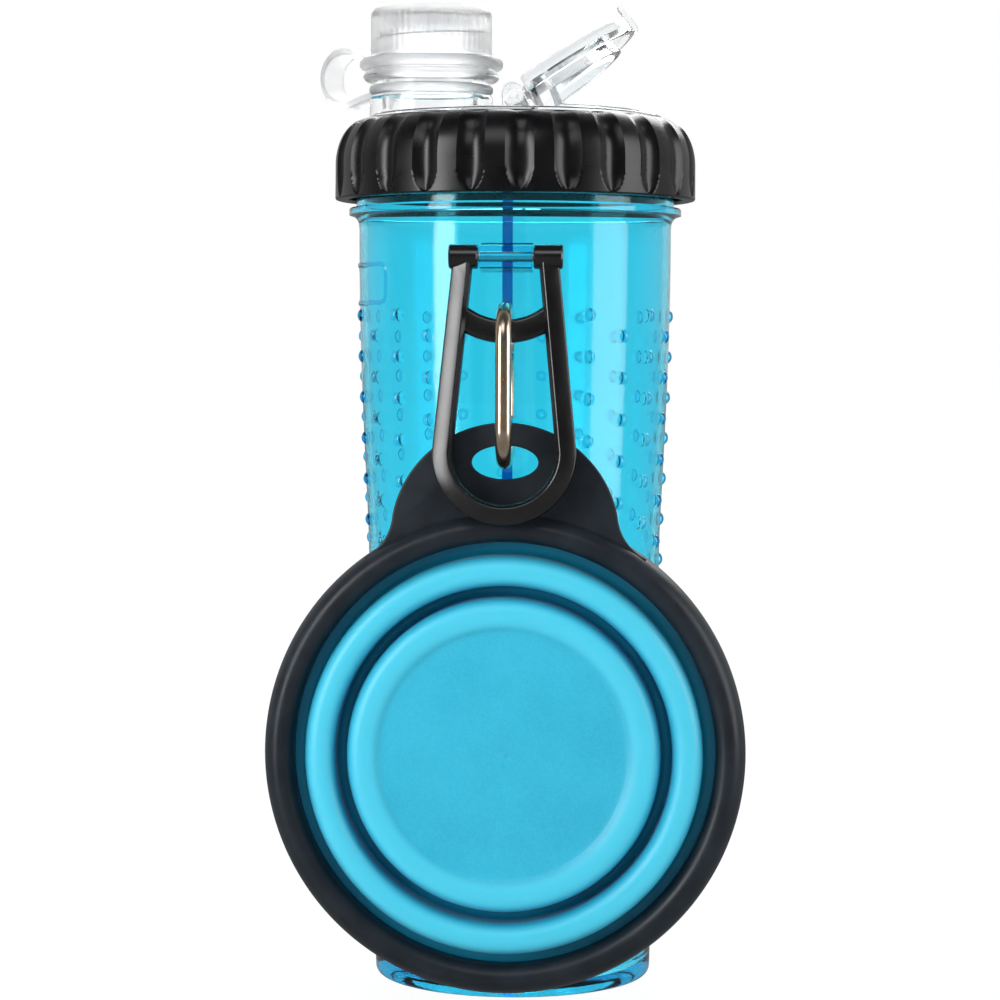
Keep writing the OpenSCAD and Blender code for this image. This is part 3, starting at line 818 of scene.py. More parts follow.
@dataclass(frozen=True)
class FoldedRubber(SoftRubber):
    """A soft rubber with painted shade that darkens its folds from their crests down into their grooves,
    and a painted highlight on the crests.

    Attributes:
        groove: Painted shade in the depth of a groove.
        crest: Painted highlight on the crests.
        groove_depth: Where the grooves' painted shade ends, in millimetres from the cup's back.
        crest_depth: Where the crests' painted highlight starts.
        flat_r: Radius of the flat middle, which has the rubber's own colour.
        flat_fade: Width of the ring over which that colour fades in.
    """

    groove: Colour = (0.0, 0.2, 0.3)
    crest: Colour = (0.1, 0.6, 0.9)
    groove_depth: float = 8.25
    crest_depth: float = 12.0
    flat_r: float = 31.0
    flat_fade: float = 1.4

    def tint(self, graph: Surface, speck: Value) -> bpy.types.NodeSocket:
        """Gives the colour over the surface, with painted shade in the folds and a painted highlight on
        the crests.

        Args:
            graph: The material's graph.
            speck: The rubber's fine grain.

        Returns:
            The colour.
        """
        back, middle = NodeBox("cup_rim").high.y, NodeBox("cup_base").middle.z
        # Painted shade and painted highlight: by depth from the cup's back, the colour runs from the
        # grooves' painted shade up to the crests' painted highlight.
        depth = graph.value("ShaderNodeSeparateXYZ", {}, {0: graph.place()}, "Y")
        fall = depth - (back - self.crest_depth) * MM
        fall = fall * (1 / ((self.crest_depth - self.groove_depth) * MM))
        rise = (1 - fall.root()).between(0, 0.75)
        flat = graph.node("ShaderNodeVectorMath", {"operation": "MULTIPLY"},
                          {0: graph.place(), 1: (1, 0, 1)})
        away = graph.value("ShaderNodeVectorMath", {"operation": "DISTANCE"},
                           {0: flat.outputs["Vector"], 1: (0, 0, middle * MM)}, "Value")
        # The flat middle keeps the rubber's own colour; the slope just outside it takes some painted
        # shade.
        inside = away.between((self.flat_r + self.flat_fade) * MM, self.flat_r * MM)
        share = rise + inside - rise * inside
        high = graph.blend(inside, self.crest, super().tint(graph, speck))
        return graph.blend(share, self.groove, high)


@dataclass(frozen=True)
class PlatedWire:
    """A bright plated wire with fine drawing marks along it and warm patches of painted reflection."""

    name: str
    colour: Colour
    roughness: float

    def build(self) -> bpy.types.Material:
        """Makes the material.

        Returns:
            The material.
        """
        graph = Surface(self.name)
        marks = graph.noise(0.35, 4, 0.6, stretch=(1.0, 1.0, 0.12))
        # Painted reflection: warm brown patches stand for a brown reflection along the wire, and roughen
        # it a little.
        painted_reflection_patches = graph.noise(3.5, 4).between(0.35, 0.8)
        warm = tuple(c * f for c, f in zip(self.colour, (0.9, 0.74, 0.58)))
        graph.set(Base_Color=graph.blend(painted_reflection_patches, self.colour, warm), Metallic=1.0,
                  Roughness=marks * 0.08 + painted_reflection_patches * 0.05 + self.roughness,
                  Normal=graph.bump(marks, 0.006))
        return graph.material


class Finish(Enum):
    """Every finish on the object."""

    # CYAN's raised colour is painted shade round the grip dots.
    CYAN = ClearPlastic("clear_cyan", (0.19, 0.80, 0.915), (0.0, 0.66, 0.86), 55.0,
                        ior=1.11, coat=0.8, raised=(0.045, 0.52, 0.80))
    PARTITION = ClearPlastic("clear_cyan_partition", (0.26, 0.865, 0.955), (0.0, 0.62, 0.84), 60.0,
                             ior=1.1)
    CLEAR = ClearPlastic("clear_lid", (0.99, 0.994, 0.996), (0.6, 0.8, 0.9), 2.0,
                         ior=1.18, coat=1.0)
    FROSTED = FrostedPlastic("frosted_cap", (0.992, 0.993, 0.997), 0.93, 0.34)
    TETHER = FrostedPlastic("frosted_tether", (0.985, 0.988, 0.995), 0.86, 0.36)
    COLLAR = MouldedPlastic("black_collar", srgb(8, 8, 11), 0.26,
                            grain_depth=0.002, scuff=0.03, specular=0.45)
    HANDLE = MouldedPlastic("black_handle", srgb(12, 12, 14), 0.22,
                            grain_depth=0.002, scuff=0.04, specular=0.8)
    RIM = MouldedPlastic("black_rim", srgb(29, 35, 42), 0.36,
                         grain=0.4, grain_depth=0.025, specular=0.35)
    # The membrane's groove colour is painted shade, and its crest colour is a painted highlight.
    MEMBRANE = FoldedRubber("blue_membrane", srgb(58, 199, 232), srgb(42, 178, 212), 0.32,
                            grain_depth=0.035, groove=srgb(10, 146, 184), crest=srgb(78, 214, 244))
    SEAL = SoftRubber("pale_seal", srgb(216, 222, 224), srgb(196, 204, 208), 0.5)
    NICKEL = PlatedWire("nickel_wire", srgb(224, 208, 190), 0.18)
    STEEL = PlatedWire("steel_pin", srgb(190, 192, 195), 0.2)

    @property
    def material(self) -> bpy.types.Material:
        """The material, made at its first use."""
        return bpy.data.materials.get(f"{self.value.name}_finish") or self.value.build()


def settle(obj: bpy.types.Object, finish: Finish, body: str, node: str) -> None:
    """Finishes a piece that stands for a solid and rides on one body.

    Args:
        obj: The piece.
        finish: Its finish.
        body: The body that carries it.
        node: The solid that it stands for.
    """
    obj.data.materials.clear()
    obj.data.materials.append(finish.material)
    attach(obj, body)
    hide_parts(node)
    LOG.info("%s rides on %s with %d faces", obj.name, body, len(obj.data.polygons))


def dress_node(node: str, finish: Finish) -> None:
    """Gives a solid that stays in view its finish.

    Args:
        node: The solid's name.
        finish: Its finish.
    """
    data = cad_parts[node].data
    data.materials.clear()
    data.materials.append(finish.material)


# ---------------------------------------------------------------- tumbler


# The shallow hollow under the foot, as radius and height.
FOOT_HOLLOW = ((0, 0.7), (27, 0.7), (28.6, 0.5), (29.6, 0.1), (30.4, 0.0))

# The section of the plain frame, as offsets outwards and across.
BADGE_SECTION = ((-0.5, -0.75), (0.15, -0.65), (0.4, -0.3), (0.4, 0.3), (0.15, 0.65), (-0.5, 0.75))


@dataclass
class Tumbler:
    """The clear cyan two-chamber tumbler with its grip dots and its lug."""

    foot_r: float = 36.1
    waist_r: float = 38.5
    shoulder_r: float = 41.2
    waist_z: float = 117
    shoulder_z: float = 196
    wall: float = 2.0
    ring_count: int = 44
    low_ring_z: float = 7.0
    foot_edge: float = 2.2
    floor_t: float = 3.0
    floor_edge: float = 4.5
    flange_r: float = 43.9
    flange_z: float = 199.8
    neck_r: float = 42.0
    lip_z: float = 219
    dot_d: float = 3.5
    dot_h: float = 1.0
    dot_pitch: float = 10.7
    dot_rows: int = 10
    dot_columns: int = 20
    dot_bare_angle: float = 30.5
    dot_top_z: float = 173.3
    dot_sunk: float = 0.35
    lug_half_w: float = 6.65
    lug_r: float = 3.0
    lug_root: float = 0.8
    badge_angle: float = -162
    badge_half_w: float = 15
    badge_half_h: float = 5
    badge_z: float = 181.5
    badge_corner: float = 2.6
    badge_step: float = 1.5
    thread_lead: float = 8
    thread_turns: float = 0.85
    thread_rise: float = 6.8
    segments: int = 192

    def radius(self, z: float) -> float:
        """Gives the outer radius at a height.

        Args:
            z: The height.

        Returns:
            The radius.
        """
        if z < self.waist_z:
            return self.foot_r + (self.waist_r - self.foot_r) * z / self.waist_z
        rise = math.sin(math.pi / 2 * (z - self.waist_z) / (self.shoulder_z - self.waist_z))
        return self.waist_r + (self.shoulder_r - self.waist_r) * rise

    def _heights(self) -> list[float]:
        """Gives the heights of the wall's rings."""
        return [self.low_ring_z + (self.shoulder_z - self.low_ring_z) * i / self.ring_count
                for i in range(self.ring_count + 1)]

    def shell(self) -> bpy.types.Object:
        """Builds the bare shell.

        Returns:
            The shell.
        """
        edge = self.foot_edge
        outer = [*FOOT_HOLLOW, (self.foot_r - edge, 0.0)]
        outer += arc(self.foot_r - edge, edge, edge, edge, -80, 0, 7)
        outer += [(self.radius(4.2), 4.2)]
        outer += [(self.radius(z), z) for z in self._heights()]
        outer += arc(self.flange_r - 0.4, self.shoulder_z + 0.3, 2.3,
                     self.flange_z - self.shoulder_z - 0.5, 170, 92, 8)[1:]
        outer += [(self.flange_r, self.flange_z), (self.flange_r, self.flange_z + 1.5),
                  (self.flange_r - 0.3, self.flange_z + 1.8), (self.neck_r + 0.3, self.flange_z + 1.8),
                  (self.neck_r, self.flange_z + 2.1), (self.neck_r, self.lip_z - 0.5),
                  (self.neck_r - 0.5, self.lip_z)]
        bore = self.neck_r - self.wall
        inner = [(bore + 0.4, self.lip_z), (bore, self.lip_z - 0.4), (bore, self.flange_z + 1.0),
                 (bore - 0.25, self.flange_z - 1.5)]
        inner += [(self.radius(z) - self.wall, z) for z in reversed(self._heights()) if z > 12]
        edge = self.floor_edge
        floor_r = self.radius(8) - self.wall - edge
        inner += arc(floor_r, self.floor_t + edge, edge, edge, 0, -88, 8)
        inner += [(floor_r - 6, self.floor_t - 0.05), (12, self.floor_t + 0.35), (0, self.floor_t + 0.5)]
        return finish_mesh("tumbler_shell", revolve(outer + inner, self.segments), sharp=44)

    def dots(self, inset: float = 0) -> bpy.types.Object:
        """Builds the raised grip dots, in staggered columns round the sides and the back.

        Args:
            inset: How far inside the outer face they stand.

        Returns:
            All the dots as one mesh.
        """
        ball = ((self.dot_d / 2) ** 2 + self.dot_h ** 2) / (2 * self.dot_h)
        low = math.degrees(math.asin((ball - self.dot_h - self.dot_sunk) / ball))
        cap = arc(0, self.dot_h - ball, ball, ball, low, 90, 7)
        dome = finish_mesh("dot", revolve([(0, -self.dot_sunk)] + cap, 20), sharp=80)
        points, turns = [], []
        step = (360 - 2 * self.dot_bare_angle) / (self.dot_columns - 1)
        for column in range(self.dot_columns):
            turn = math.radians(-90 + self.dot_bare_angle + step * column)
            for row in range(self.dot_rows):
                z = self.dot_top_z - self.dot_pitch * (row + (column % 2) / 2)
                r = self.radius(z) - inset
                points.append(Vector((r * math.cos(turn), r * math.sin(turn), z)))
                turns.append(Vector((0, math.pi / 2, turn)))
        return scatter("grip_dots", points, turns, dome, Finish.CYAN.material)

    def badge(self) -> bpy.types.Object:
        """Builds the plain raised frame near the shoulder.

        Returns:
            The frame.
        """
        flat = rounded_box(self.badge_half_w, self.badge_half_h, self.badge_corner, 6)
        path, radial = [], []
        for i, (across, rise) in enumerate(flat):
            after = flat[(i + 1) % len(flat)]
            steps = max(1, round(math.dist((across, rise), after) / self.badge_step))
            for k in range(steps):
                u = across + (after[0] - across) * k / steps
                z = self.badge_z + rise + (after[1] - rise) * k / steps
                a = math.radians(self.badge_angle) + u / self.shoulder_r
                radial.append(Vector((math.cos(a), math.sin(a), 0)))
                path.append(radial[-1] * self.radius(z) + Vector((0, 0, z)))
        mesh = sweep(path, BADGE_SECTION, lambda i: radial[i], ends=False)
        return finish_mesh("badge", mesh, sharp=60)

    def thread(self, start: float) -> bpy.types.Object:
        """Builds one start of the neck's thread.

        Args:
            start: The angle at which it starts, in degrees.

        Returns:
            The ridge.
        """
        spiral = helix(self.neck_r, ridge(1.5, 0.95, 0.5), self.thread_lead, start, self.thread_turns,
                       self.flange_z + self.thread_rise)
        return finish_mesh("thread", spiral)

    def lug(self) -> bpy.types.Object:
        """Builds the lug that holds the handle's pin.

        Returns:
            The lug.
        """
        pin = NodeBox("handle_pin").middle
        nose = [(pin.y + self.lug_r * math.cos(a), pin.z + self.lug_r * math.sin(a))
                for a in (math.radians(90 + 180 * i / 12) for i in range(13))]
        root = -self.radius(pin.z) + self.lug_root
        half = self.lug_r + self.lug_root
        side = nose + [(root, pin.z - half), (root, pin.z + half)]
        return finish_mesh("lug", slab(side, -self.lug_half_w, self.lug_half_w, 0.4, 2), ON_EDGE)

    def bore(self) -> bpy.types.Object:
        """Builds the plug that cuts the lug's bore.

        Returns:
            The plug.
        """
        pin = NodeBox("handle_pin").middle
        reach = self.lug_half_w + 1
        radius = NodeBox("handle_pin").high.z - pin.z + 0.05
        mesh = revolve([(0, -reach), (radius, -reach), (radius, reach), (0, reach)], 32)
        return finish_mesh("bore", mesh, quarter_turn("Y", 0, pin.y, pin.z))

    def partition(self) -> bpy.types.Object:
        """Builds the wall between the two chambers.

        Returns:
            The wall.
        """
        half = NodeBox("divider_wall").high.x
        foot_gap, bite = 6, 0.3
        edge = [(self.radius(z) - foot_gap, z) for z in (self.floor_t, self.low_ring_z)]
        edge += [(min(self.radius(z), self.neck_r) - self.wall + bite, z)
                 for z in (*self._heights()[1:], self.flange_z, self.lip_z)]
        loop = edge + [(-r, z) for r, z in reversed(edge)]
        return finish_mesh("partition", slab(loop, -half, half), ON_EDGE)

    def mark_raised(self, mesh: bpy.types.Mesh) -> None:
        """Writes how far each point stands up from the wall, as a share of a dot's height.

        Args:
            mesh: The tumbler's mesh.
        """
        wall_top = self.shoulder_z - 4
        heights = [(math.hypot(v.co.x, v.co.y) / MM - self.radius(v.co.z / MM)) / self.dot_h
                   if v.co.z / MM < wall_top else 0.0 for v in mesh.vertices]
        raised = mesh.attributes.new("raised", "FLOAT", "POINT")
        raised.data.foreach_set("value", [min(max(h, 0.0), 1.0) for h in heights])

    def build(self) -> None:
        """Builds and dresses the tumbler."""
        added = [self.dots(), self.lug(), self.badge(), self.thread(0), self.thread(180)]
        body = combine("tumbler", self.shell(), added, sharp=30)
        body = combine("tumbler", body, [self.bore(), self.dots(self.wall)], "DIFFERENCE", sharp=30)
        self.mark_raised(body.data)
        settle(body, Finish.CYAN, "bottle", "bottle_shell")
        settle(self.partition(), Finish.PARTITION, "bottle", "divider_wall")


# ---------------------------------------------------------------- collar


@dataclass
class Collar:
    """The black screw collar with its arched flutes."""

    outer_r: float = 47.6
    bore_r: float = 44.2
    opening_r: float = 39.5
    seat_r: float = 42.6
    seat_z: float = 15.6
    web: float = 2.2
    thread_lead: float = 8
    thread_turns: float = 0.85
    thread_rise: float = 4.9
    shoulder_depth: float = 8.1
    shoulder_rise: float = 12
    flutes: int = 24
    flute_w: float = 7.3
    flute_depth: float = 1.45
    flute_foot: float = 0.5
    arch_h: float = 7.0
    fade_z: float = 16.6
    fade_h: float = 4.4
    phase: float = -86
    steps: int = 34

    def _groove(self, angle: float, height: float) -> float:
        """Gives a flute's depth at an angle and at a height above the collar's foot.

        Args:
            angle: Angle round the collar, in radians.
            height: Height above its foot.

        Returns:
            The depth.
        """
        pitch = 2 * math.pi / self.flutes
        across = (angle - math.radians(self.phase)) / pitch
        across = (across - round(across)) * pitch * self.outer_r
        half = self.flute_w / 2
        arch = min(max((height - self.flute_foot) / self.arch_h, 0.0), 1.0)
        half *= math.sqrt(1 - (1 - arch) ** 2)
        if abs(across) >= half:
            return 0.0
        depth = self.flute_depth * (0.55 + 0.45 * smooth(arch, 0, 0.6))
        depth *= 1 - 0.8 * smooth(height, self.fade_z, self.fade_z + self.fade_h)
        return depth * (1 - (across / half) ** 2)

    def build(self) -> None:
        """Builds and dresses the collar."""
        box = NodeBox("collar_ring")
        low, top = box.low.z, box.high.z
        height = top - low
        straight = height - self.shoulder_rise
        skin = [(self.outer_r - 0.75, 0), (self.outer_r - 0.25, 0.15), (self.outer_r, 0.5)]
        skin += [(self.outer_r, 0.5 + (straight - 0.5) * i / 26) for i in range(1, 26)]
        skin += arc(self.outer_r - self.shoulder_depth, straight, self.shoulder_depth,
                    self.shoulder_rise, 0, 84, 22)
        grooved = len(skin)
        skin += [(self.opening_r + 0.5, height - 0.03), (self.opening_r + 0.05, height - 0.35),
                 (self.opening_r, height - 0.8), (self.opening_r, height - self.web),
                 (self.seat_r, height - self.web), (self.seat_r, self.seat_z),
                 (self.bore_r, self.seat_z - self.bore_r + self.seat_r), (self.bore_r, 0.5),
                 (self.bore_r + 0.5, 0)]

        def flute(angle: float, r: float, z: float, index: int) -> tuple[float, float]:
            """Presses the flutes into the outside.

            Args:
                angle: Angle round the collar, in radians.
                r: Radius of the plain profile.
                z: Height of the plain profile.
                index: Number of the point in the profile.

            Returns:
                The radius and the height with the flutes in place.
            """
            if not 1 < index < grooved:
                return r, z
            rise = max(z - straight, 0) / self.shoulder_rise
            across = math.sqrt(max(1 - rise * rise, 0)) * self.shoulder_rise
            up = rise * self.shoulder_depth
            size = math.hypot(across, up)
            depth = self._groove(angle, z)
            return r - depth * across / size, z - depth * up / size

        mesh = revolve(skin, self.flutes * self.steps, closed=True, shape=flute)
        obj = finish_mesh("screw_collar", mesh, Matrix.Translation((0, 0, low)), sharp=24)
        threads = [finish_mesh("thread", helix(self.bore_r, ridge(-1.5, 0.95, 0.5), self.thread_lead,
                                               start, self.thread_turns, low + self.thread_rise))
                   for start in (0, 180)]
        obj = combine("screw_collar", obj, threads, sharp=24)
        settle(obj, Finish.COLLAR, "collar", "collar_ring")


# ---------------------------------------------------------------- lid, door and cap


SPOUT_LEAD = 4

def d_outline(radius: float, chord: float, corner: float) -> list[Point]:
    """Gives a disc cut off at a chord, with rounded corners.

    Args:
        radius: Radius of the disc.
        chord: Distance of the straight side from the centre, towards +X.
        corner: Radius of the corners.

    Returns:
        The closed outline, counter-clockwise.
    """
    yc = math.sqrt((radius - corner) ** 2 - (chord + corner) ** 2)
    meet = math.degrees(math.atan2(yc, chord + corner))
    upper = arc(chord + corner, yc, corner, corner, meet, 180, 6)[1:]
    lower = arc(chord + corner, -yc, corner, corner, 180, 360 - meet, 6)[:-1]
    return arc(0, 0, radius, radius, -meet, meet, 96) + upper + lower


def bar(radius: float, low: float, high: float, edge: float, segments: int = 40) -> bmesh.types.BMesh:
    """Makes a round bar along +Z with bevelled ends."""
    return revolve([(0, low), (radius - edge, low), (radius, low + edge), (radius, high - edge),
                    (radius - edge, high), (0, high)], segments)


def helix(radius: float, section: Sequence[Point], lead: float, start: float, turns: float,
          z: float) -> bmesh.types.BMesh:
    """Makes a right-hand thread ridge whose ends run out.

    Args:
        radius: Radius of the wall that the ridge stands on.
        section: The ridge's section, outwards and upwards.
        lead: Rise in one turn.
        start: First angle in degrees.
        turns: Number of turns.
        z: Height of the ridge's middle at its start.

    Returns:
        The working mesh.
    """
    count = int(turns * 72)
    angles = [math.radians(start) + 2 * math.pi * turns * i / count for i in range(count + 1)]
    path = [Vector((radius * math.cos(a), radius * math.sin(a), z + lead * turns * i / count))
            for i, a in enumerate(angles)]

    def fade(i: int) -> tuple[float, float]:
        """Lets the ridge run out at both ends."""
        share = min(smooth(i, 0, 7), smooth(count - i, 0, 7))
        return 0.25 + 0.75 * share, 0.5 + 0.5 * share
    return sweep(path, section, lambda i: Vector((math.cos(angles[i]), math.sin(angles[i]), 0)), fade)


@dataclass
class Lid:
    """The clear lid plate with its spout, and the flip door."""

    flange_r: float = 42.3
    flange_t: float = 2.2
    raised_r: float = 38.9
    plate_t: float = 2.4
    hole_r: float = 30.5
    land: float = 6.0
    lip_r: float = 32.5
    lip_w: float = 1.4
    lip_h: float = 1.1
    foot_r: float = 16.3
    foot_h: float = 5.6
    spout_r: float = 13.0
    spout_wall: float = 1.8
    barrel_r: float = 3.0
    barrel_l: float = 26.0
    ear_l: float = 4.0
    side_gap: float = 0.3
    pin_r: float = 1.25
    pin_reach: float = 25.0
    door_r: float = 36.0
    door_x: float = 3.6
    door_t: float = 2.4
    door_skirt: float = 4.4
    door_wall: float = 1.8
    door_rise: float = 5.6
    door_open: float = 35.0
    finger_w: float = 9.0
    finger_t: float = 1.5
    finger_lift: float = 3.6
    finger_corner: float = 1.6
    plate_rise: float = 5.5

    def __post_init__(self) -> None:
        """Takes the main heights from the solids."""
        self.low = NodeBox("lid_plate").low.z
        self.spout_top = NodeBox("lid_plate").high.z
        self.plate = self.low + self.plate_rise
        self.spout_x = NodeBox("spout_cap").middle.x
        self.hinge_z = NodeBox("door_hinge_pin").middle.z

    def pin_bore(self) -> bpy.types.Object:
        """Builds the plug that cuts the hinge pin's bore."""
        plug = bar(self.pin_r, -self.pin_reach, self.pin_reach, 0.01, 32)
        return finish_mesh("pin_bore", plug, quarter_turn("X", z=self.hinge_z))

    def plate_body(self) -> bpy.types.Object:
        """Builds the stepped plate.

        Returns:
            The plate, without its holes.
        """
        step = self.low + self.flange_t
        profile = [(0, self.low), (self.flange_r - 0.3, self.low), (self.flange_r, self.low + 0.3),
                   (self.flange_r, step - 0.3), (self.flange_r - 0.3, step),
                   (self.raised_r + 0.5, step), (self.raised_r, step + 0.5)]
        profile += arc(self.raised_r - 0.7, self.plate - 0.7, 0.7, 0.7, 0, 90, 5) + [(0, self.plate)]
        return finish_mesh("lid_plate_body", revolve(profile, 192))

    def spout(self) -> list[bpy.types.Object]:
        """Builds the spout's outside with its thread.

        Returns:
            The spout's outside and its thread.
        """
        foot = self.plate + self.foot_h
        profile = [(0, self.plate - 1), (self.foot_r, self.plate - 1)]
        profile += arc(self.foot_r - 0.7, foot - 0.7, 0.7, 0.7, 0, 90, 5)
        profile += [(self.spout_r + 0.3, foot), (self.spout_r, foot + 0.3),
                    (self.spout_r, self.spout_top - 0.4), (self.spout_r - 0.4, self.spout_top),
                    (0, self.spout_top)]
        place = Matrix.Translation((self.spout_x, 0, 0))
        thread = helix(self.spout_r, ridge(0.9, 0.75, 0.4), SPOUT_LEAD, 0, 1.75, self.spout_top - 10)
        return [finish_mesh("spout_outside", revolve(profile, 128), place),
                finish_mesh("spout_thread", thread, place)]

    def ear(self, side: int) -> list[bpy.types.Object]:
        """Builds one hinge ear.

        Args:
            side: 1 for the ear at +Y, and -1 for the one at -Y.

        Returns:
            The ear's round head and its post.
        """
        near = side * (self.barrel_l / 2 + self.side_gap)
        far = near + side * self.ear_l
        head = finish_mesh("ear_head", bar(self.barrel_r, 0, self.ear_l, 0.3),
                           quarter_turn("X", 0, max(near, far), self.hinge_z))
        half, deep = self.barrel_r - 0.35, self.ear_l / 2 - 0.06
        post = slab([(-half, -deep), (half, -deep), (half, deep), (-half, deep)],
                    self.plate - 1, self.hinge_z)
        return [head, finish_mesh("ear_post", post, Matrix.Translation((0, (near + far) / 2, 0)))]

    def plate_object(self) -> bpy.types.Object:
        """Joins the lid's parts.

        Returns:
            The lid.
        """
        turns = range(-68, 69, 2)
        lip = [(math.cos(math.radians(a)) * r, math.sin(math.radians(a)) * r)
               for r, angles in ((self.lip_r + self.lip_w, turns), (self.lip_r, turns[::-1]))
               for a in angles]
        added = [finish_mesh("lip", slab(lip, self.plate - 1, self.plate + self.lip_h, 0.3, 2))]
        added += self.spout() + self.ear(1) + self.ear(-1)
        body = combine("lid", self.plate_body(), added, sharp=35)
        bore = bar(self.spout_r - self.spout_wall, self.low - 1, self.spout_top + 1, 0.01, 96)
        pocket = slab(d_outline(self.raised_r - 3, self.land, 1.5), self.low - 1,
                      self.plate - self.plate_t)
        hole = slab(d_outline(self.hole_r, self.land, 1.0), self.low - 2, self.plate + 1)
        cuts = [finish_mesh("bore", bore, Matrix.Translation((self.spout_x, 0, 0))),
                finish_mesh("pocket", pocket), finish_mesh("hole", hole), self.pin_bore()]
        return combine("lid", body, cuts, "DIFFERENCE", sharp=35)

    def door(self) -> bpy.types.Object:
        """Builds the door shut, and then turns it open.

        Returns:
            The door.
        """
        top = self.plate + self.door_rise
        low = top - self.door_skirt
        plate = slab(d_outline(self.door_r, self.door_x, 2.2), low, top, 0.55, 4)
        body = finish_mesh("door_body", plate)
        pocket = slab(d_outline(self.door_r - self.door_wall, self.door_x + self.door_wall, 1.2),
                      low - 1, top - self.door_t)
        reach = self.barrel_l / 2
        barrel = finish_mesh("barrel", bar(self.barrel_r, -reach, reach, 0.3),
                             quarter_turn("X", z=self.hinge_z))
        inside = self.door_x + 0.8
        outline = [(0.4, self.hinge_z - 0.2), (inside, top - self.door_t), (inside, top - 0.25),
                   (1.6, top - 0.25), (0.2, self.hinge_z + self.barrel_r - 0.25)]
        web = finish_mesh("web", slab(outline, 0.4 - reach, reach - 0.4), quarter_turn("X"))
        half, round_r = self.finger_w / 2, self.finger_corner
        high = top + self.finger_lift
        outline = arc(half - round_r, high - round_r, round_r, round_r, 0, 90, 6)
        outline += arc(round_r - half, high - round_r, round_r, round_r, 90, 180, 6)
        outline += [(-half, low), (half, low)]
        start = self.door_r - self.finger_t / 3
        finger = finish_mesh("finger", slab(outline, start, start + self.finger_t, 0.35, 3), ON_EDGE)
        body = combine("door", body, [finish_mesh("door_pocket", pocket)], "DIFFERENCE")
        body = combine("door", body, [barrel, web, finger])
        body = combine("door", body, [self.pin_bore()], "DIFFERENCE", sharp=35)
        hinge = Matrix.Translation((0, 0, self.hinge_z * MM))
        turn = Matrix.Rotation(math.radians(-self.door_open), 4, "Y")
        body.data.transform(hinge @ turn @ hinge.inverted())
        return body

    def build(self) -> None:
        """Builds and dresses the lid and the door."""
        settle(self.plate_object(), Finish.CLEAR, "lid", "lid_plate")
        settle(self.door(), Finish.CLEAR, "door", "flip_door")
        settle(copy_of_node("door_seal", "door_plug"), Finish.CLEAR, "door", "door_seal")
        dress_node("door_hinge_pin", Finish.CLEAR)
        dress_node("chamber_gasket", Finish.SEAL)


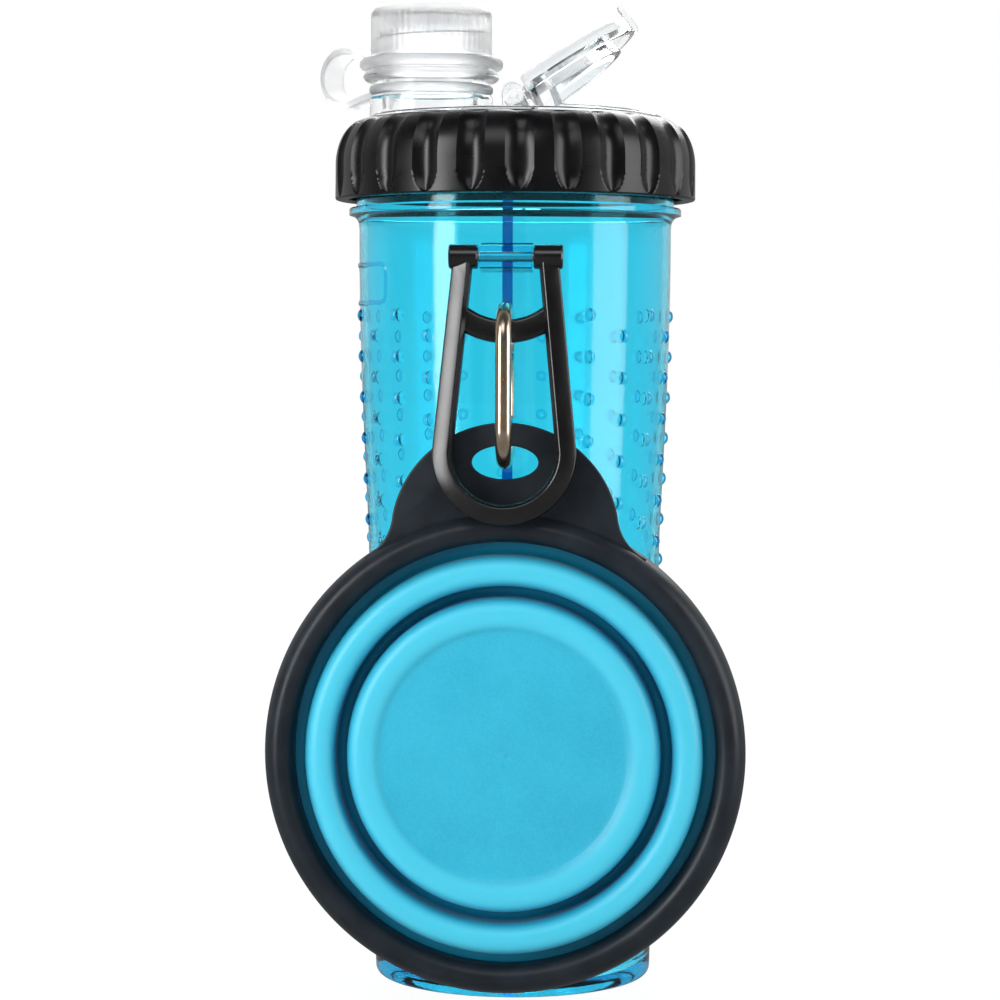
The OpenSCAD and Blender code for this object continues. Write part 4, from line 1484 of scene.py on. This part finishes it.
@dataclass
class Cap:
    """The frosted screw cap on its tether."""

    cap_r: float = 16.0
    rib_depth: float = 0.45
    ribs: int = 56
    rib_steps: int = 6
    bead_r: float = 18.0
    bead_h: float = 2.9
    bead_round: float = 1.8
    cap_h: float = 13.6
    bore_r: float = 14.2
    neck_r: float = 15.3
    round_r: float = 3.0
    top_t: float = 2.2
    lower_ring_r: float = 13.3
    upper_ring_r: float = 15.6
    strap_w: float = 8.2
    strap_t: float = 1.8
    strap_turn: float = 35
    loop_r: float = 7.3
    loop_x: float = 27.7
    loop_lift: float = 0.9
    strap_bite: float = 1.2
    strap_edge: float = 0.45

    def cap(self) -> bpy.types.Object:
        """Builds the cap.

        Returns:
            The cap.
        """
        box = NodeBox("spout_cap")
        top = box.high.z - box.low.z
        body_z = top - self.cap_h
        bore, upper = self.bore_r, self.bead_round
        profile = [(bore + 0.6, 0), (self.bead_r - 1.2, 0)]
        profile += arc(self.bead_r - 1.5, 1.5, 1.5, 1.5, -60, 0, 5)
        profile += arc(self.bead_r - upper, self.bead_h - upper, upper, upper, 0, 85, 6)
        profile += [(self.neck_r, self.bead_h), (self.neck_r, body_z), (self.cap_r - 0.5, body_z),
                    (self.cap_r, body_z + 0.4)]
        ribbed = len(profile)
        profile += [(self.cap_r, body_z + 0.9), (self.cap_r, body_z + 1.6), (self.cap_r, body_z + 5),
                    (self.cap_r, body_z + 9)]
        profile += arc(self.cap_r - self.round_r, top - self.round_r, self.round_r, self.round_r,
                       0, 88, 10)
        under = top - self.top_t
        profile += [(self.cap_r - 6, top - 0.15), (4, top - 0.25), (0, top - 0.25), (0, under),
                    (bore - 1, under), (bore, under - 1), (bore, 0.6)]

        def rib(angle: float, r: float, z: float, index: int) -> tuple[float, float]:
            """Presses the grooves between the ribs.

            Args:
                angle: Angle round the cap, in radians.
                r: Radius of the plain profile.
                z: Height of the plain profile.
                index: Number of the point in the profile.

            Returns:
                The radius and the height with the grooves in place.
            """
            if not ribbed <= index < ribbed + 9:
                return r, z
            wave = 0.5 - 0.5 * math.cos(angle * self.ribs)
            fade = smooth(z, body_z + 0.9, body_z + 1.8) * (1 - smooth(z, top - 3.2, top - 1.6))
            return r - self.rib_depth * wave * fade, z

        mesh = revolve(profile, self.ribs * self.rib_steps, closed=True, shape=rib)
        place = Matrix.Translation((box.middle.x, box.middle.y, box.low.z))
        rise = NodeBox("lid_plate").high.z - 8 - box.low.z
        spiral = helix(bore, ridge(-0.8, 0.7, 0.35), SPOUT_LEAD, 0, 1.6, rise)
        thread = finish_mesh("thread", spiral, place)
        return combine("cap", finish_mesh("cap", mesh, place, sharp=50), [thread], sharp=50)

    def ring(self, node: str, name: str, inner: float) -> bpy.types.Object:
        """Builds a ring of the tether round the spout.

        Args:
            node: The solid that it stands for.
            name: Name of the ring.
            inner: Its inner radius.

        Returns:
            The ring.
        """
        box = NodeBox(node)
        outer = box.radius
        height = box.high.z - box.low.z
        edge = min(height, outer - inner) * 0.42
        loop = []
        for r, z, start in ((outer - edge, edge, -90), (outer - edge, height - edge, 0),
                            (inner + edge, height - edge, 90), (inner + edge, edge, 180)):
            loop += arc(r, z, edge, edge, start, start + 90, 3)
        place = Matrix.Translation((box.middle.x, box.middle.y, box.low.z))
        return finish_mesh(name, revolve(loop, 96, closed=True), place, sharp=50)

    def strap(self) -> bpy.types.Object:
        """Builds the strap that loops from the lower ring to the upper one.

        Returns:
            The strap.
        """
        base, top, cap = NodeBox("tether_base_ring"), NodeBox("tether_top_ring"), NodeBox("spout_cap")
        centre = (base.low.z + top.high.z) / 2 + self.loop_lift
        starts = ((base.radius - self.strap_bite, (base.low.z + base.high.z) / 2, -1),
                  (top.radius - self.strap_bite, top.high.z - self.strap_t / 2, 1))
        points = []
        for x, z, side in starts:
            reach = math.hypot(self.loop_x - x, z - centre)
            bearing = math.atan2(z - centre, x - self.loop_x)
            points.append(bearing - side * math.acos(self.loop_r / reach))
        low, high = points[0] % (2 * math.pi) - 2 * math.pi, points[1] % (2 * math.pi)
        hoop = [Vector((self.loop_x + self.loop_r * math.cos(a), 0, centre + self.loop_r * math.sin(a)))
                for a in (low + (high - low) * i / 56 for i in range(57))]
        first, last = (Vector((x, 0, z)) for x, z, _ in starts)
        path = [first.lerp(hoop[0], i / 10) for i in range(10)] + hoop
        path += [hoop[-1].lerp(last, i / 10) for i in range(1, 11)]
        section = rounded_box(self.strap_w / 2, self.strap_t / 2, self.strap_edge, 3)
        mesh = sweep(path, section, lambda i: Vector((0, 1, 0)))
        place = Matrix.Translation((cap.middle.x, 0, 0))
        place = place @ Matrix.Rotation(math.radians(180 - self.strap_turn), 4, "Z")
        return finish_mesh("tether_strap_band", mesh, place, sharp=60)

    def build(self) -> None:
        """Builds and dresses the cap and its tether."""
        settle(self.cap(), Finish.FROSTED, "cap", "spout_cap")
        dress_node("cap_liner", Finish.FROSTED)
        lower = self.ring("tether_base_ring", "tether_lower", self.lower_ring_r)
        upper = self.ring("tether_top_ring", "tether_upper", self.upper_ring_r)
        settle(lower, Finish.TETHER, "lid", "tether_base_ring")
        settle(upper, Finish.TETHER, "tether_end", "tether_top_ring")
        strap = self.strap()
        low, high = NodeBox("tether_base_ring").high.z, NodeBox("tether_top_ring").low.z
        strap.data.materials.append(Finish.TETHER.material)
        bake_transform(strap)
        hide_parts("tether_strap")


# ---------------------------------------------------------------- handle and clip


@dataclass
class Handle:
    """The black loop handle with its knuckles and its crossbar."""

    frame_w: float = 5.1
    frame_t: float = 4.4
    ridge_h: float = 0.4
    length: float = 49.2
    bend_r: float = 17.9
    top_half: float = 13.3
    knuckle_r: float = 3.1
    knuckle_l: float = 7.3
    knuckle_x: float = 6.95
    crossbar_l: float = 18.8
    crossbar_h: float = 5.9
    crossbar_t: float = 3.0
    crossbar_bend_r: float = 18.2
    crossbar_edge: float = 1.1
    crossbar_half_turn: float = 37
    lean: float = 7

    def _place(self) -> Matrix:
        """Gives the place of the handle's pin, leaning as at rest."""
        pin = NodeBox("handle_pin").middle
        return Matrix.Translation((0, pin.y, pin.z)) @ Matrix.Rotation(math.radians(-self.lean), 4, "X")

    def _section(self) -> list[Point]:
        """Gives the frame's section: a ridge near the inner edge, a wide outer bevel and a flat back.

        Returns:
            The section, as offsets outwards and towards the front.
        """
        half, deep = self.frame_w / 2, self.frame_t / 2
        ridge = deep + self.ridge_h
        front = [(-half, deep - 1.1), (-half + 0.1, deep - 0.8), (-half + 0.85, ridge - 0.25),
                 (-half + 1.0, ridge - 0.08), (-half + 1.2, ridge), (-half + 1.45, ridge - 0.06),
                 (half - 0.45, deep - 0.95), (half - 0.15, deep - 1.15), (half, deep - 1.5)]
        back = [(half, -deep + 0.5), (half - 0.5, -deep), (-half + 0.5, -deep), (-half, -deep + 0.5)]
        return front + back

    def frame(self) -> bpy.types.Object:
        """Builds the loop.

        Returns:
            The loop.
        """
        mid = self.bend_r - self.frame_w / 2
        top = self.top_half - self.frame_w / 2
        path = [Vector((top + (mid - top) * i / 12, 0, -1.0 + (1.0 - self.length) * i / 12))
                for i in range(12)]
        path += [Vector((mid * math.cos(a), 0, -self.length - mid * math.sin(a)))
                 for a in (math.pi * i / 48 for i in range(49))]
        path += [Vector((-p.x, 0, p.z)) for p in reversed(path[:12])]
        count = len(path)

        def outward(i: int) -> Vector:
            """Gives the direction away from the middle of the loop.

            Args:
                i: Number of the path's point.

            Returns:
                The direction.
            """
            ahead, behind = path[min(i + 1, count - 1)], path[max(i - 1, 0)]
            along = (ahead - behind).normalized()
            return along.cross(Vector((0, 1, 0)))

        mesh = sweep(path, self._section(), outward)
        return finish_mesh("handle_frame", mesh, self._place(), sharp=24)

    def knuckle(self, side: int) -> bpy.types.Object:
        """Builds one knuckle.

        Args:
            side: 1 for the knuckle at +X, and -1 for the one at -X.

        Returns:
            The knuckle.
        """
        start = self.knuckle_x if side > 0 else -self.knuckle_x - self.knuckle_l
        barrel = bar(self.knuckle_r, 0, self.knuckle_l, 0.35, 48)
        return finish_mesh(f"knuckle_{side}", barrel, self._place() @ quarter_turn("Y", start))

    def crossbar(self) -> bpy.types.Object:
        """Builds the curved crossbar.

        Returns:
            The crossbar.
        """
        centre = self.crossbar_bend_r - self.crossbar_l
        bend = self.crossbar_bend_r
        path = [Vector((bend * math.sin(a), 0, centre - bend * math.cos(a)))
                for a in (math.radians(self.crossbar_half_turn * (i / 14 - 1)) for i in range(29))]
        section = rounded_box(self.crossbar_h / 2, self.crossbar_t / 2, self.crossbar_edge, 4)
        mesh = sweep(path, section, lambda i: Vector((0, 0, centre)) - path[i])
        return finish_mesh("crossbar", mesh, self._place(), sharp=50)

    def build(self) -> None:
        """Builds and dresses the handle and its pin."""
        tools = [self.knuckle(1), self.knuckle(-1), self.crossbar()]
        handle = combine("handle_loop", self.frame(), tools, sharp=24)
        settle(handle, Finish.HANDLE, "handle_loop", "handle")
        dress_node("handle_pin", Finish.STEEL)


@dataclass
class SpringClip:
    """The plated spring clip and its gate."""

    def build(self) -> None:
        """Dresses the clip."""
        for node, name, body in (("clip_frame", "clip_wire", "clip"),
                                 ("clip_gate", "clip_gate_wire", "gate")):
            settle(copy_of_node(node, name, 40), Finish.NICKEL, body, node)
        dress_node("gate_rivet", Finish.NICKEL)


# ---------------------------------------------------------------- cup


@dataclass
class Cup:
    """The collapsed cup: a hard black rim with a tab, and a soft folded wall."""

    rim_w: float = 7.5
    rim_skin: float = 0.07
    depth: float = 9.5
    tab_r: float = 28.6
    tab_t: float = 2.4
    tab_front: float = 6.2
    tab_spread: float = 36
    hole_half_w: float = 8.3
    hole_half_h: float = 4.2
    hole_drop: float = 9.9
    wall: float = 1.6
    fold_h: float = 12
    fold_w: float = 7.5
    fold_1_r: float = 45.6
    fold_2_r: float = 35.2
    base_dip: float = 1.8
    step_r: float = 31.0
    step_h: float = 0.45
    flat_r: float = 28.4

    def __post_init__(self) -> None:
        """Takes the cup's place from its solids."""
        rim, base = NodeBox("cup_rim"), NodeBox("cup_base")
        self.rim_r = rim.radius + self.rim_skin
        self.back_y = rim.high.y
        self.centre_z = base.middle.z
        self.tab_top = rim.high.z - self.centre_z
        self.hole_y = self.tab_top - self.hole_drop
        self.half = self.fold_w / 2
        self.inner = self.half - self.wall
        self.crest = self.fold_h - self.half
        self.groove_r = (self.fold_1_r + self.fold_2_r) / 2
        self.groove_in = (self.fold_1_r - self.fold_2_r) / 2 - self.half
        self.groove_out = self.groove_in + self.wall

    def _place(self) -> Matrix:
        """Gives the cup's place, with its axis along -Y."""
        return quarter_turn("X", 0, self.back_y, self.centre_z)

    def rim(self) -> bpy.types.Object:
        """Builds the rim with its tab and the oval hole.

        Returns:
            The rim and the tab in one.
        """
        crest = self.rim_r - 4.2
        inner = self.rim_r - self.rim_w
        loop = [(inner + 0.3, 0.05), (self.rim_r - 0.7, 0), (self.rim_r - 0.15, 0.2), (self.rim_r, 0.8)]
        loop += arc(crest, 3, self.rim_r - crest, self.depth - 3, 0, 90, 14)
        loop += arc(crest, self.depth - 3.4, crest - inner, 3.4, 90, 180, 10)[1:]
        loop += [(inner, 3), (inner, 0.4)]
        ring = finish_mesh("rim_ring", revolve(loop, 224, closed=True), self._place(), sharp=50)
        return combine("cup_rim_and_tab", ring, [self.tab()], sharp=32)

    def tab(self) -> bpy.types.Object:
        """Builds the tab.

        Returns:
            The tab.
        """
        centre = self.tab_top - self.tab_r
        outline = [(math.sin(a) * self.tab_r, centre + math.cos(a) * self.tab_r)
                   for a in map(math.radians, range(-78, 79, 3))]
        spread = math.radians(self.tab_spread)
        foot = (self.rim_r * math.sin(spread), self.rim_r * math.cos(spread))
        last = outline[-1]
        flare = curve(last, (last[0] + 0.6, foot[1] + 3.2), foot, 8)[1:]
        inner = self.rim_r - self.rim_w + 1.2
        under = [(inner * math.sin(a), inner * math.cos(a))
                 for a in map(math.radians, range(38, -39, -4))]
        outline = [(-x, y) for x, y in reversed(flare)] + outline + flare + under
        hole = arc(0, self.hole_y, self.hole_half_w, self.hole_half_h, 0, 352.5, 47)
        mesh = slab(outline, self.tab_front - self.tab_t, self.tab_front, 0.5, 3, [hole])
        return finish_mesh("tab", mesh, self._place(), sharp=40)

    def outer_wall(self) -> bpy.types.Object:
        """Builds the soft wall between the rim and the outer fold.

        Returns:
            The wall.
        """
        edge = self.rim_r - self.rim_w + 0.3
        foot = self.fold_1_r + self.half
        loop = [(edge, 0.4), (edge, 0.4 + self.wall)]
        loop += arc(foot + 1.6, 2.0 + self.wall, 1.6, 1.6, 270, 180, 6)
        loop += arc(self.fold_1_r, self.crest, self.half, self.half, 0, 180, 36)
        loop += arc(self.fold_1_r, self.crest, self.inner, self.inner, 180, 0, 14)
        loop += [(self.fold_1_r + self.inner, 0.4)]
        return finish_mesh("cup_wall_outer", revolve(loop, 192, closed=True), self._place(), sharp=70)

    def middle_wall(self) -> bpy.types.Object:
        """Builds the groove's soft wall as it lies with the cup collapsed; on the real cup it turns over
        as the cup pops out.

        Returns:
            The wall.
        """
        low, top = self.groove_out, self.crest + 0.15
        start = self.fold_1_r - self.half
        steps = 12
        near = [(start, top + (low - top) * i / steps) for i in range(steps)]
        far = [(start + self.wall, z) for _, z in reversed(near)]
        loop = near + arc(self.groove_r, low, self.groove_in, self.groove_in, 360, 180, 14)
        loop += arc(self.groove_r, low, self.groove_out, self.groove_out, 180, 360, 20) + far
        return finish_mesh("cup_wall_middle", revolve(loop, 192, closed=True), self._place(), sharp=70)

    def base(self) -> bpy.types.Object:
        """Builds the inner fold and the flat base.

        Returns:
            The fold and the base in one.
        """
        base_d = self.fold_h - self.base_dip
        loop = [(0, base_d - self.wall), (self.fold_2_r - self.inner - 1, base_d - self.wall)]
        loop += arc(self.fold_2_r, self.crest, self.inner, self.inner, 150, 0, 14)
        lip = self.groove_out - 0.1
        loop += [(self.fold_2_r + self.inner, lip), (self.fold_2_r + self.half, lip)]
        loop += arc(self.fold_2_r, self.crest, self.half, self.half, 0, 90, 24)
        drop = self.base_dip - self.step_h
        width = self.fold_2_r - self.step_r
        loop += [(self.fold_2_r - width * k / 12, self.fold_h - drop * (k / 12) ** 2)
                 for k in range(1, 12)]
        turn = self.step_r - self.step_h * width / (2 * drop)
        loop += curve((self.step_r, base_d + self.step_h), (turn, base_d), (self.flat_r, base_d), 8)
        loop += [(self.flat_r * k / 8, base_d) for k in range(7, 0, -1)]
        loop += [(1.6, base_d), (1.4, base_d - 0.1), (0.8, base_d - 0.1), (0.5, base_d + 0.05),
                 (0, base_d + 0.06)]
        return finish_mesh("cup_bottom_wall", revolve(loop, 192), self._place(), sharp=60)

    def build(self) -> None:
        """Builds and dresses the cup."""
        settle(self.rim(), Finish.RIM, "cup", "cup_rim")
        settle(self.outer_wall(), Finish.MEMBRANE, "cup", "cup_outer_wall")
        settle(self.base(), Finish.MEMBRANE, "cup_bottom", "cup_base")
        middle = self.middle_wall()
        middle.data.materials.append(Finish.MEMBRANE.material)
        front = (self.back_y - self.crest) * MM
        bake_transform(middle)
        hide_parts("cup_middle_wall")


# ---------------------------------------------------------------- studio


@dataclass(frozen=True)
class Panel:
    """A soft rectangular light, in metres and watts."""

    name: str
    place: tuple[float, float, float]
    size: Point
    power: float


PANELS = (
    Panel("left_panel", (-0.72, -0.62, 0.3), (0.28, 0.9), 6.6),
    Panel("right_panel", (0.88, -0.22, 0.25), (0.5, 0.9), 5.2),
    Panel("top_panel", (-0.1, -0.72, 0.78), (0.6, 0.35), 1.3),
    Panel("back_panel", (0.1, 0.75, 0.72), (0.9, 0.5), 6.0),
)


@dataclass
class Studio:
    """A white studio: floor, soft lights, world and camera."""

    distance: float = 805
    height: float = 163.5
    azimuth: float = 3.0
    slide: float = 3.9
    rise: float = -0.147
    roll: float = 0.2
    focal: float = 109.37
    sensor: float = 36.0
    front_level: float = 0.05
    back_level: float = 0.45
    front_end: float = -0.1
    back_start: float = 0.5
    soft_level: float = 0.26
    floor_glow: float = 0.92
    floor_mirror: float = 0.22
    floor_r: float = 9000
    shade_near: float = 0.07
    shade_far: float = 0.3
    aim_z: float = 0.13

    def camera(self) -> None:
        """Places the camera, level, with its frame moved down to the object."""
        data = bpy.data.cameras.new("camera")
        data.lens = self.focal
        data.sensor_width = self.sensor
        data.shift_y = self.rise
        obj = add_object("camera", data)
        a = math.radians(self.azimuth)
        across = Vector((math.cos(a), math.sin(a), 0))
        back = Vector((math.sin(a), -math.cos(a), 0))
        place = back * self.distance - across * self.slide + Vector((0, 0, self.height))
        turn = Matrix.Rotation(a, 4, "Z") @ Matrix.Rotation(math.pi / 2, 4, "X")
        turn = turn @ Matrix.Rotation(math.radians(self.roll), 4, "Z")
        obj.matrix_world = Matrix.Translation(place * MM) @ turn
        bpy.context.scene.camera = obj

    def light(self, panel: Panel) -> None:
        """Adds a soft light that faces the object.

        Args:
            panel: The light's place, size and power.
        """
        data = bpy.data.lights.new(panel.name, "AREA")
        data.shape = "RECTANGLE"
        data.size, data.size_y = panel.size
        data.energy = panel.power
        place = Vector(panel.place)
        turn = (Vector((0, 0, self.aim_z)) - place).to_track_quat("-Z", "Y").to_matrix().to_4x4()
        add_object(panel.name, data).matrix_world = Matrix.Translation(place) @ turn

    def world(self) -> None:
        """Makes surroundings that are white behind the object and dim in front of it."""
        world = bpy.data.worlds.new("studio")
        world.use_nodes = True
        bpy.context.scene.world = world
        graph = Graph(world.node_tree)
        path = graph.node("ShaderNodeLightPath")
        place = graph.node("ShaderNodeTexCoord").outputs["Generated"]
        depth = graph.value("ShaderNodeSeparateXYZ", {}, {0: place}, "Y")
        mirrored = depth.between(self.front_end, self.back_start, self.front_level, self.back_level)
        level = Value(graph, path.outputs["Is Glossy Ray"]).between(0, 1, self.soft_level, mirrored)
        for seen in ("Is Transmission Ray", "Is Camera Ray"):
            level = Value(graph, path.outputs[seen]).between(0, 1, level, 1.0)
        background = graph.tree.nodes["Background"]
        background.inputs["Color"].default_value = (1, 1, 1, 1)
        graph.feed(background.inputs["Strength"], level)

    def floor(self) -> None:
        """Lays the pale floor."""
        mesh = bmesh.new()
        bmesh.ops.create_circle(mesh, cap_ends=True, radius=self.floor_r, segments=96)
        obj = finish_mesh("floor", mesh, Matrix.Translation((0, 0, -0.05)))
        graph = Surface("floor")
        graph.set(Base_Color=(0.9, 0.9, 0.9), Roughness=0.9, Specular_IOR_Level=0.1)
        glow = graph.node("ShaderNodeEmission", {}, {"Color": (1, 1, 1, 1), "Strength": 1.04})
        away = graph.value("ShaderNodeVectorMath", {"operation": "LENGTH"}, {0: graph.place()}, "Value")
        fade = away.between(self.shade_near, self.shade_far)
        path = graph.node("ShaderNodeLightPath")
        direct, through = (Value(graph, path.outputs[f"Is {kind} Ray"])
                           for kind in ("Camera", "Transmission"))
        share = (direct + through).between(0, 1) * (fade * (1 - self.floor_glow) + self.floor_glow)
        dim = graph.node("ShaderNodeEmission", {}, {
            "Color": (1, 1, 1, 1), "Strength": self.floor_mirror})
        dull = graph.node("ShaderNodeMixShader", {}, {
            0: path.outputs["Is Glossy Ray"], 1: graph.shader.outputs[0], 2: dim.outputs[0]})
        mix = graph.node("ShaderNodeMixShader", {}, {0: share, 1: dull.outputs[0], 2: glow.outputs[0]})
        graph.feed(graph.output.inputs["Surface"], mix.outputs[0])
        obj.data.materials.append(graph.material)

    def build(self) -> None:
        """Sets up the studio."""
        bpy.context.scene.view_settings.view_transform = "Standard"
        for panel in PANELS:
            self.light(panel)
        self.world()
        self.floor()
        self.camera()


def main() -> None:
    """Builds every sub-assembly and the studio."""
    logging.basicConfig(level=logging.INFO, format="%(name)s: %(message)s")
    for part in (Studio(), Tumbler(), Collar(), Lid(), Cap(), Handle(), SpringClip(), Cup()):
        part.build()


if __name__ == "__main__":
    main()
